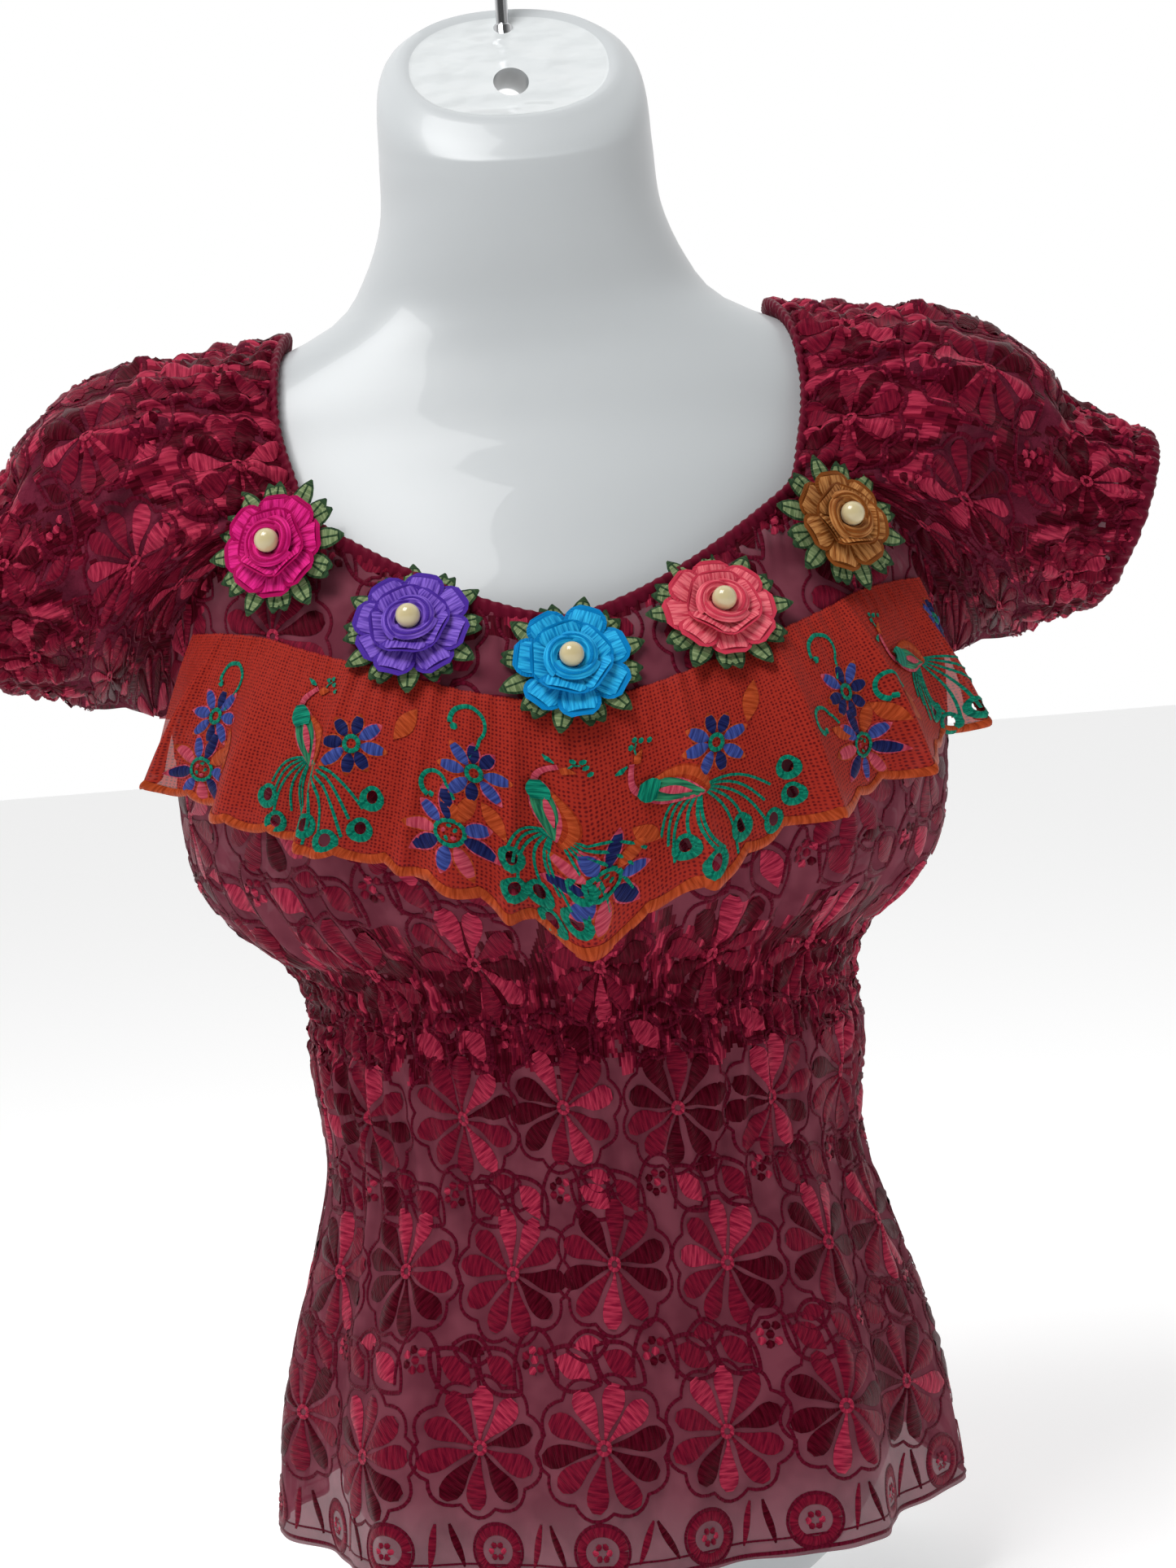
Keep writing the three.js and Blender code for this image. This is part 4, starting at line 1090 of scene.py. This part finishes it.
def bird(work, local, turn):
    """A plump body, a neck and head with a crest, and a fan of tail threads that end in eyelets."""
    def rot(points):
        return turned(points, turn)

    fan = ((-52, 19.5), (-27, 26), (3, 23), (16, 31.5), (41, 34), (64, 31))
    between = [(0.5 * (a[0] + b[0]), 0.46 * (a[1] + b[1])) for a, b in zip(fan, fan[1:])]
    for degrees, reach in list(fan) + between:
        a = math.radians(degrees)
        t = np.linspace(0, 1, 9)
        bend = 3.6 * np.sin(math.pi * t) * (-1 if degrees > 10 else 1)
        sx = 2.2 * (degrees - 6) / 60
        path = pairs(sx * (1 - t) + t * reach * math.sin(a) - bend * math.cos(a),
                     2 - t * (reach + 1) * math.cos(a) - bend * math.sin(a))
        work.band(path, 0.55, 0.5, "teal", 0.3, 1, local)
    run = np.linspace(-1, 23, 13)
    spine = rot(pairs(-0.42 * run + 0.6, 0.9 * run))
    full = domed(0.12, 2.72, 13)
    wing = pairs(-0.36 * run + 6.4 * domed(0.1, 3.0, 13) + 0.9, 0.86 * run - 1.2)
    wing_half = domed(0.2, 3.0, 13)
    work.band(rot(wing), 1.2 + 2.6 * wing_half, 0.7, "rust", 0.3, 2, local)
    work.band(rot(wing + (0.9, 0.4)), 0.7 + 1.4 * wing_half, 0.7, "orange", 0.55, 2, local)
    work.band(spine, 5.3 * full, 0.8, "pink", 0.75, 2, local)
    work.band(spine + (-0.5, 0.4), 4.3 * full, 0.8, "green", 1.1, 2, local)
    work.band(spine[3:10] + (0.9, -0.3), 1.6 * domed(0.2, 2.9, 7), 0.5, "pink", 2.0, 1, local)
    work.band(spine[8:] + (-0.9, 0.5), 4.4 * domed(0.8, 2.7, 5), 0.7, "teal", 1.9, 2, local)
    t = np.linspace(0, 1, 10)
    neck = rot(pairs(-9.6 - 4.6 * t + 10.5 * t ** 2, 19.5 + 10.5 * t))
    work.band(neck, 1.35 - 0.35 * t, 0.6, "pink", 0.5, 1, local)
    work.band(rot([(-2.6, 28.4), (-0.6, 29.8), (2.2, 30.0)]), (1.3, 1.5, 0.2), 0.7, "orange", 0.5, 1, local)
    work.band(rot([(-9.5, 33), (-7.5, 31.8), (-5.0, 31)]), (0.3, 1.1, 0.3), 0.5, "teal", 0.5, 1, local)
    for x, y in ((0.4, 34.2), (3.2, 34.8), (4.4, 32.4), (6.2, 29.6)):
        tuft = rot([(x - 1.0, y), (x, y + 0.1), (x + 1.0, y)])
        work.band(tuft, (0.6, 1.1, 0.6), 0.7, "teal", 0.5, 1, local)
    work.band(rot([(-0.6, 30.6), (0.6, 32.6), (2.8, 33.6)]), 0.35, 0.4, "teal", 0.4, 1, local)


def curl(work, local, turn, size=1.0):
    """A teal hook of thread with a round end, open to the lower left."""
    t = np.linspace(0, 1, 22)
    a = np.radians(190 - 235 * t)
    r = 7.0 * size
    path = pairs(r * np.cos(a) - (1 - t) ** 3 * 0.5, r * np.sin(a))
    tail = pairs(path[-1, 0] + np.array((-0.6, -2.0, -3.6)) * size,
                 path[-1, 1] + np.array((-2.6, -5.4, -8.0)) * size)
    path = np.concatenate([path, tail])
    work.band(turned(path, turn), np.linspace(1.1, 0.6, len(path)), 0.6, "teal", 0.3, 1, local)
    ball = turned([(-1.5 * size, 0), (0, 0.1), (1.5 * size, 0)], 20, -5.6 * size, -2.4 * size)
    work.band(turned(ball, turn), (0.8, 1.6 * size, 0.8), 0.7, "teal", 0.4, 1, local)


def small_leaf(work, local, x, y, degrees, size):
    run = np.linspace(-5.5, 5.5, 7) * size
    path = turned(pairs(run, 0 * run), degrees, x, y)
    work.band(path, 2.5 * size * domed(0.05, 3.09, 7), 0.6, "orange", 0.3, 1, local)


EDGE_HALF = 1.9
SCALLOP = 20.0
DEPTH_SCALE = 80.0

# What is sewn on the ruffle: shares of its half length and depth, and a turn, a size, a lean or a side.
BIRDS = ((-0.495, 0.564, 0), (-0.046, 0.582, -12), (0.181, 0.575, 40), (0.79, 0.516, 45))
FLOWERS = (
    (-0.405, 0.418, 1), (-0.775, 0.479, 1), (-0.175, 0.398, 1),
    (0.231, 0.397, 1), (0.534, 0.442, 1), (0.96, 0.3, 0.9),
)
CLUSTERS = ((-0.776, 0.791, 80), (-0.209, 0.707, 100), (0.017, 0.739, 70), (0.53, 0.735, 95))
CURLS = ((-0.761, 0.261), (-0.19, 0.169), (0.518, 0.197))
SMALL_CURLS = ((-0.245, 0.5), (0.445, 0.52), (0.62, 0.5))
LOOSE_LEAVES = ((-0.31, 0.25, 1), (0.32, 0.28, 1), (-0.7, 0.62, -1), (0.66, 0.66, -1))


def scallop_line(r):
    """The share of the ruffle's depth at which its scalloped edge runs."""
    bow = np.abs(np.sin(math.pi * r * RUFFLE_HALF * 1.17 / SCALLOP)) ** 0.7
    return 1 - (5.0 - 2.8 * bow) / ruffle_depth(r)


def build_ruffle():
    rows, columns = 64, 420
    r, d = np.meshgrid(np.linspace(-1, 1, columns), np.linspace(0, 1, rows))
    points = ruffle_place(r, d, 0 * r)
    faces = grid_faces(rows, columns, flip=True)
    middle_r = r.ravel()[faces].mean(axis=1)
    middle_d = d.ravel()[faces].mean(axis=1)
    solid = np.ones(len(faces), bool)
    for er, ed in EYELETS:
        across = (middle_r - er) * RUFFLE_HALF / 2.3
        down = (middle_d - ed) * ruffle_depth(er) / 2.9
        solid &= across ** 2 + down ** 2 > 1
    solid &= middle_d < scallop_line(middle_r)
    faces = faces[solid]
    net = hexagon_net("red net", "#64181A", "#A83024")
    uvs = pairs((r * RUFFLE_HALF).ravel(), (d * DEPTH_SCALE).ravel())
    shell = ride(add_mesh("ruffle_net", points.reshape(-1, 3), faces, uvs, [net]))
    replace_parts(shell, "ruffle")
    work = Threadwork(ruffle_threads())
    rng = np.random.default_rng(5)
    for br, bd, turn in BIRDS:
        bird(work, ruffle_local(br, bd), turn)
    for er, ed in EYELETS:
        local = ruffle_local(er, ed)
        work.band(ring_path(3.0, 3.6, 16), 0.9, 0.6, "teal", 0.25, 1, local)
        t = np.linspace(-0.6, math.pi + 0.6, 11)
        crescent = pairs(3.9 * np.cos(t), -4.4 * np.sin(t))
        work.band(crescent, 1.5 * domed(0.15, 3.0, 11), 0.7, "teal", 0.35, 2, local)
    for fr, fd, size in FLOWERS:
        eight_petals(work, ruffle_local(fr, fd), rng, size)
    for fr, fd, lean in CLUSTERS:
        local = ruffle_local(fr, fd)
        long_cluster(work, local, rng, lean)
        small_leaf(work, local, 15, 9, -50, 1.3)
    for cr, cd in CURLS:
        curl(work, ruffle_local(cr, cd), 0)
    for cr, cd in SMALL_CURLS:
        local = ruffle_local(cr, cd)
        curl(work, local, 60, 0.7)
        small_leaf(work, local, 8, -8, -35, 1.1)
    for cr, cd, way in LOOSE_LEAVES:
        small_leaf(work, ruffle_local(cr, cd), 0, 0, 60 * way, 1.5)
    scallop = np.linspace(-1, 1, 430)
    edge = pairs(scallop * 0.998, scallop_line(scallop)) * (RUFFLE_HALF, DEPTH_SCALE)
    work.band(edge, EDGE_HALF, 0.8, "orange", 0.3, 2, lambda x, y: (x / RUFFLE_HALF, y / DEPTH_SCALE))

    def keep(x, y):
        return (np.abs(x) < 0.999) & (y < 0.999) & (y > 0.02)

    threads = ride(work.mesh("ruffle_embroidery", ruffle_place, keep))


# Roses

def rose_axes(x, z, stand, tip):
    angle = angle_at(np.array(float(x)), np.array(float(z))) if x else np.array(0.0)
    height = np.array(float(z))
    facing = outward(angle, height)
    seat = body(CLOTH_SECTIONS, angle, height) + facing * stand
    across = unit(np.cross((0, 0, 1), facing))
    out = np.array(Matrix.Rotation(math.radians(-tip), 3, Vector(across)) @ Vector(facing))
    return seat, across, np.cross(out, across), out


ROSE_COLOURS = {
    "magenta": ("#A80E55", "#E82C8C"),
    "violet": ("#4A2C96", "#8A66D2"),
    "turquoise": ("#0C7FC0", "#35BDF2"),
    "coral": ("#C83A50", "#F57A84"),
    "amber": ("#84481E", "#C88A50"),
}


LEAFLET_HALF = np.array((1.6, 2.4, 3.2, 3.9, 4.4, 4.5, 3.9, 2.6, 0.5))
PETAL_SHAPE = np.array((0.2, 0.36, 0.52, 0.66, 0.79, 0.9, 0.97, 1.0, 0.95, 0.78, 0.4))


def build_rose(rose):
    name, x, z, stand, tip, petals, radius, turn = rose
    seat, across, up, out = rose_axes(x, z, stand, tip)

    def place(px, py, h):
        return seat + across * px[..., None] + up * py[..., None] + out * h[..., None]

    rng = np.random.default_rng(len(name) * 7)
    greens = {
        "fern": shared_thread("fern green thread", "#1E3424", "#3E5638"),
        "sage": shared_thread("sage green thread", "#5A6E48", "#8C9C70"),
    }
    base = math.degrees(turn)
    leaves = Threadwork(greens)
    for k in range(6):
        for side, reach in ((-20, 26.5), (20, 26.5), (0, 30)):
            angle = base + 60 * k + side + rng.uniform(-3, 3)
            run = np.linspace(8, reach, 9)
            path = turned(pairs(run, 0.02 * side * (run - 8)), angle)
            lift = 0.2 if side else 0.6
            leaves.band(path, LEAFLET_HALF, 0.5, "fern", lift, 2)
            leaves.band(path[1:-1], LEAFLET_HALF[1:-1] - 1.0, 0.5, "sage", lift + 0.3, 2)
            leaves.band(path[1:-1], 0.45, 0.4, "fern", lift + 0.75, 1)
    piece = leaves.mesh(f"rose_{name}_leaf_ring", place)
    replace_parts(ride(piece), f"rose_{name}_leaves")
    low, high = ROSE_COLOURS[name]
    colours = {
        "deep": satin_thread(f"deep {name} thread", low, low),
        "light": satin_thread(f"light {name} thread", low, high, True),
    }
    ring = Threadwork(colours)
    t = np.linspace(0, 1, len(PETAL_SHAPE))
    layers = ((radius + 0.6, petals, 7.7, 1.5, 1.6), (radius - 7.5, 5, 9.2, 3.2, 3.4))
    for layer, (reach, count, half_top, lift, tilt) in enumerate(layers):
        for k in range(count):
            angle = base + 360 * k / count + 18 * layer + rng.uniform(-4, 4)
            long = reach * rng.uniform(0.95, 1.04)
            path = turned(pairs(3 + (long - 3) * t, 0 * t), angle)
            half = half_top * PETAL_SHAPE
            rise = tilt * t ** 1.6 + 0.35 * np.sin(5 * t + k) * t + 0.95 * (k % 2)
            ring.band(path, half + t, 0.5, "deep", lift, 4, rise=rise)
            ring.band(path[:-1] * 0.985, half[:-1] - 0.8, 0.9, "light", lift + 0.35, 4, rise=rise[:-1])
    piece = ring.mesh(f"rose_{name}_petal_ring", place)
    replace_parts(ride(piece), f"rose_{name}_petals")
    heart = Threadwork(colours)
    for k in range(3):
        t = np.linspace(-1, 1, 17)
        radius_in = 7.9 + 0.9 * t
        a = math.radians(base + 120 * k + 12) + 1.35 * t
        path = pairs(radius_in * np.cos(a), radius_in * np.sin(a))
        rise = 4.0 + 1.6 * np.cos(t * QUARTER)
        heart.band(path, 2.6, 1.3, "light", 2.4, 3, rise=rise)
        heart.band(path * 1.06, 0.55, 0.6, "deep", 3.7, 1, rise=rise)
    heart.band(ring_path(3.6, 3.6, 18), 3.6, 0.3, "deep", 3.2, 2)
    piece = heart.mesh(f"rose_{name}_rolled_heart", place)
    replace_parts(ride(piece), f"rose_{name}_heart")
    bpy.ops.mesh.primitive_uv_sphere_add(segments=32, ring_count=20, radius=BEAD_RADIUS * MM)
    bead = bpy.context.object
    bead.name = f"rose_{name}_bead"
    bead.location = Vector((seat + out * BEAD_STAND) * MM)
    soften(bead.data)
    bead.data.materials.append(shared("cream pearl", lambda: new_material(
        "cream pearl", "#CDBD90", 0.2, Coat_Weight=0.6, Coat_Roughness=0.08, Sheen_Weight=0.2)))
    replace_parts(ride(bead), f"rose_{name}_pearl")


# Form and hook

# The dish in the neck's cap: share of the rim's reach, and depth under the rim.
CAP_DISH = ((0.93, 0.2), (0.9, 1.1), (0.87, 1.6), (0.6, 1.7), (0.3, 1.7), (0.02, 1.7))
# The hook's collar from its seat up: radius and height.
COLLAR_PROFILE = ((0, 0), (5.5, 0), (5.5, 2), (4.6, 3), (4.2, 8), (3.4, 9), (0, 9))
COLLAR_SIDES = 40


def build_form():
    rows = np.concatenate([np.linspace(0, 60, 14), np.linspace(66, 590, 88), np.linspace(595, 645, 16),
                           np.linspace(647, 660, 9)])
    sides = 128
    angle = np.linspace(0, FULL_TURN, sides, endpoint=False)
    a, z = np.meshgrid(angle, rows)
    full = 1 - smooth(560, 575, z)
    points = body(FORM_SECTIONS, a, z, full)
    tilt = np.tan(np.radians(lookup(FORM_SECTIONS, z, 4)))
    points[..., 2] = z + points[..., 1] * tilt
    rim = points[-1]
    centre = rim.mean(axis=0)
    dished = [centre + (rim - centre) * share + np.array([0, 0, -drop]) for share, drop in CAP_DISH]
    rings = np.concatenate([points.reshape(-1, 3), *dished])
    count = len(rows) + len(dished)
    faces = grid_faces(count, sides, closed=True)
    material = new_material(
        "satin white plastic", "#C0C4C6", 0.36, Specular_IOR_Level=0.5, Coat_Weight=0.15)
    bump(material, noise(material, "Object", (90, 90, 90), 1.0, 3.0), 0.12, 0.0006)
    film = new_material("crinkled white disc", "#D6DADB", 0.22, Specular_IOR_Level=0.6)
    bump(film, noise(film, "Object", (46, 70, 46), 1.0, 1.5), 1.0, 0.004)
    on_disc = np.arange(len(faces)) >= (len(rows) + 1) * sides
    form = add_mesh("form_shell", rings, faces, None, [material, film], on_disc)
    bottom = list(range(sides))
    top = list(range((count - 1) * sides, count * sides))
    bm = bmesh.new()
    bm.from_mesh(form.data)
    bm.verts.ensure_lookup_table()
    bm.faces.new([bm.verts[i] for i in reversed(bottom)])
    bm.faces.new([bm.verts[i] for i in top]).material_index = 1
    bmesh.ops.recalc_face_normals(bm, faces=bm.faces)
    bm.to_mesh(form.data)
    bm.free()
    bpy.ops.mesh.primitive_cylinder_add(
        vertices=48, radius=FINGER_HOLE["radius"] * MM, depth=FINGER_HOLE["length"] * MM,
        location=(0, 0, FINGER_HOLE["z"] * MM), rotation=(QUARTER, 0, 0))
    drill = bpy.context.object
    cut = form.modifiers.new("finger hole", "BOOLEAN")
    cut.operation = "DIFFERENCE"
    cut.object = drill
    cut.solver = "EXACT"
    bpy.context.view_layer.objects.active = form
    bpy.ops.object.modifier_apply(modifier=cut.name)
    bpy.data.objects.remove(drill)
    soften(form.data)
    form.data.set_sharp_from_angle(angle=math.radians(40))
    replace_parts(ride(form), "form")


def build_hook():
    seat = HOOK["seat"]
    top = seat + HOOK["collar_h"] + HOOK["stem"]
    path = [(0, seat - 1), (0, seat + HOOK["collar_h"]), (0, top - 10), (2, top - 3)]
    for k in range(13):
        a = math.radians(-60 + 240 * k / 12)
        path.append((HOOK["bend"] * math.cos(a), top + HOOK["bend"] * (1 + math.sin(a))))
    curve = bpy.data.curves.new("hook", "CURVE")
    curve.dimensions = "3D"
    curve.bevel_depth = HOOK["wire"] / 2 * MM
    curve.bevel_resolution = 6
    curve.use_fill_caps = True
    spline = curve.splines.new("NURBS")
    spline.points.add(len(path) - 1)
    for point, (x, z) in zip(spline.points, path):
        point.co = (x * MM, HOOK["y"] * MM, z * MM, 1)
    spline.use_endpoint_u = True
    spline.order_u = 4
    spline.resolution_u = 8
    wire = link(bpy.data.objects.new("hook_wire", curve))
    mesh = bpy.data.meshes.new_from_object(wire.evaluated_get(bpy.context.evaluated_depsgraph_get()))
    bpy.data.objects.remove(wire)
    hook = link(bpy.data.objects.new("hook_wire", mesh))
    chrome = new_material("polished steel", "#C9CACC", 0.12, Metallic=1.0)
    mesh.materials.clear()
    mesh.materials.append(chrome)
    soften(mesh)
    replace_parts(ride(hook), "hook")
    turn = np.linspace(0, FULL_TURN, COLLAR_SIDES, endpoint=False)
    rings = [np.stack([r * np.cos(turn), HOOK["y"] + r * np.sin(turn), seat + h + 0 * turn], axis=1)
             for r, h in COLLAR_PROFILE]
    faces = grid_faces(len(COLLAR_PROFILE), COLLAR_SIDES, closed=True)
    ride(add_mesh("hook_collar", np.concatenate(rings), faces, None, [chrome]))


# Stage

class BlouseStage(bpy.types.PropertyGroup):
    key_power: FloatProperty(
        name="Key light", description="Power of the large soft light, in watts", default=24.0,
        min=0, max=200)
    fill_power: FloatProperty(
        name="Fill light", description="Power of the second soft light, in watts", default=2.0,
        min=0, max=200)
    sky: FloatProperty(
        name="Surround", description="Strength of the white surround", default=1.0, min=0, max=3)


# Lights: size, place and the point that each faces, in metres.
KEY_LIGHT = ((0.9, 0.9), (-0.6, -0.75, 1.9), (0, 0, 0.38))
FILL_LIGHT = ((1.4, 1.4), (1.5, -1.1, 0.8), (0, 0, 0.35))
FLOOR_SIZE = 14
FLOOR_GLOW = 0.34
# Share of the surround's strength that is left on the viewer's side.
SKY_AHEAD = 0.1
CAMERA = {"azimuth": -3.0, "elevation": 3.6, "roll": 4.5, "distance": 1.25, "lens": 66.7,
          "target": (0.0096, 0.0, 0.352)}


def soft_light(name, power, size, location, target):
    light = bpy.data.lights.new(name, "AREA")
    light.energy = power
    light.shape = "RECTANGLE"
    light.size = size[0]
    light.size_y = size[1]
    obj = bpy.data.objects.new(name, light)
    obj.location = location
    obj.rotation_euler = (Vector(target) - Vector(location)).to_track_quat("-Z", "Y").to_euler()
    return link(obj)


def white_surround(behind, ahead):
    """A white surround that is dimmer on the viewer's side, so that the front is shaded by the lights."""
    world = bpy.data.worlds.new("white surround")
    world.use_nodes = True
    tree = world.node_tree
    coordinates = tree.nodes.new("ShaderNodeTexCoord")
    parts = tree.nodes.new("ShaderNodeSeparateXYZ")
    fade = tree.nodes.new("ShaderNodeMapRange")
    fade.inputs["From Min"].default_value = -0.5
    fade.inputs["From Max"].default_value = 0.5
    fade.inputs["To Min"].default_value = ahead
    fade.inputs["To Max"].default_value = behind
    tree.links.new(coordinates.outputs["Generated"], parts.inputs["Vector"])
    tree.links.new(parts.outputs["Y"], fade.inputs["Value"])
    tree.nodes["Background"].inputs["Color"].default_value = (1, 1, 1, 1)
    tree.links.new(fade.outputs["Result"], tree.nodes["Background"].inputs["Strength"])
    return world


def build_stage():
    settings = bpy.context.scene.blouse_stage
    bpy.ops.mesh.primitive_plane_add(size=FLOOR_SIZE, location=(0, 0, 0))
    floor = bpy.context.object
    floor.name = "floor"
    floor.data.materials.append(new_material(
        "pale floor", "#F3F3F3", 0.9, Emission_Color=(1, 1, 1, 1), Emission_Strength=FLOOR_GLOW))
    key = soft_light("key", settings.key_power, *KEY_LIGHT)
    fill = soft_light("fill", settings.fill_power, *FILL_LIGHT)
    bpy.context.scene.world = white_surround(settings.sky, settings.sky * SKY_AHEAD)
    bpy.context.scene.view_settings.view_transform = "Standard"
    az = math.radians(CAMERA["azimuth"])
    el = math.radians(CAMERA["elevation"])
    roll = math.radians(CAMERA["roll"])
    back = Vector((math.sin(az) * math.cos(el), -math.cos(az) * math.cos(el), math.sin(el)))
    right = Vector((math.cos(az), math.sin(az), 0))
    up = back.cross(right)
    across = right * math.cos(roll) - up * math.sin(roll)
    upright = right * math.sin(roll) + up * math.cos(roll)
    camera = bpy.data.objects.new("camera", bpy.data.cameras.new("camera"))
    camera.data.lens = CAMERA["lens"]
    camera.data.sensor_width = 36
    camera.data.sensor_fit = "AUTO"
    matrix = Matrix((across, upright, back)).transposed().to_4x4()
    matrix.translation = Vector(CAMERA["target"]) + back * CAMERA["distance"]
    camera.matrix_world = matrix
    bpy.context.scene.camera = link(camera)


class BlousePanels(bpy.types.Operator):
    """Makes the front and back panels with their embroidery"""
    bl_idname = "blouse.panels"
    bl_label = "Front and back"

    def execute(self, context):
        build_panel(True)
        build_panel(False)
        return {"FINISHED"}


class BlouseSleeves(bpy.types.Operator):
    """Makes both puff sleeves with their embroidery"""
    bl_idname = "blouse.sleeves"
    bl_label = "Sleeves"

    def execute(self, context):
        build_sleeve(1)
        build_sleeve(-1)
        return {"FINISHED"}


class BlouseCasings(bpy.types.Operator):
    """Makes the elastic casings of the neckline and cuffs"""
    bl_idname = "blouse.casings"
    bl_label = "Casings"

    def execute(self, context):
        build_casings()
        return {"FINISHED"}


class BlouseRuffle(bpy.types.Operator):
    """Makes the net ruffle with its birds, flowers and eyelets"""
    bl_idname = "blouse.ruffle"
    bl_label = "Ruffle"

    def execute(self, context):
        build_ruffle()
        return {"FINISHED"}


class BlouseRoses(bpy.types.Operator):
    """Makes the five roses with their leaves and beads"""
    bl_idname = "blouse.roses"
    bl_label = "Roses"

    def execute(self, context):
        for rose in ROSES:
            build_rose(rose)
        return {"FINISHED"}


class BlouseForm(bpy.types.Operator):
    """Makes the display form and its hook"""
    bl_idname = "blouse.form"
    bl_label = "Display form"

    def execute(self, context):
        build_form()
        build_hook()
        return {"FINISHED"}


class BlouseStageSet(bpy.types.Operator):
    """Sets the floor, lights and camera"""
    bl_idname = "blouse.stage"
    bl_label = "Stage"

    def execute(self, context):
        build_stage()
        return {"FINISHED"}


STEPS = (BlousePanels, BlouseSleeves, BlouseCasings, BlouseRuffle, BlouseRoses, BlouseForm, BlouseStageSet)


class BlousePanel(bpy.types.Panel):
    """Lists the blouse's steps in the sidebar"""
    bl_idname = "VIEW3D_PT_blouse"
    bl_label = "Blouse"
    bl_space_type = "VIEW_3D"
    bl_region_type = "UI"
    bl_category = "Blouse"

    def draw(self, context):
        for step in STEPS:
            self.layout.operator(step.bl_idname)
        for name in ("columns", "cover"):
            self.layout.prop(context.scene.blouse_cloth, name)
        for name in ("key_power", "fill_power", "sky"):
            self.layout.prop(context.scene.blouse_stage, name)


CLASSES = (BlouseCloth, BlouseStage) + STEPS + (BlousePanel,)


def register():
    for entry in CLASSES:
        bpy.utils.register_class(entry)
    bpy.types.Scene.blouse_cloth = PointerProperty(type=BlouseCloth)
    bpy.types.Scene.blouse_stage = PointerProperty(type=BlouseStage)


def unregister():
    del bpy.types.Scene.blouse_stage
    del bpy.types.Scene.blouse_cloth
    for entry in reversed(CLASSES):
        bpy.utils.unregister_class(entry)


def main():
    register()
    bpy.ops.blouse.panels()
    bpy.ops.blouse.sleeves()
    bpy.ops.blouse.casings()
    bpy.ops.blouse.ruffle()
    bpy.ops.blouse.roses()
    bpy.ops.blouse.form()
    bpy.ops.blouse.stage()


if __name__ == "__main__":
    main()
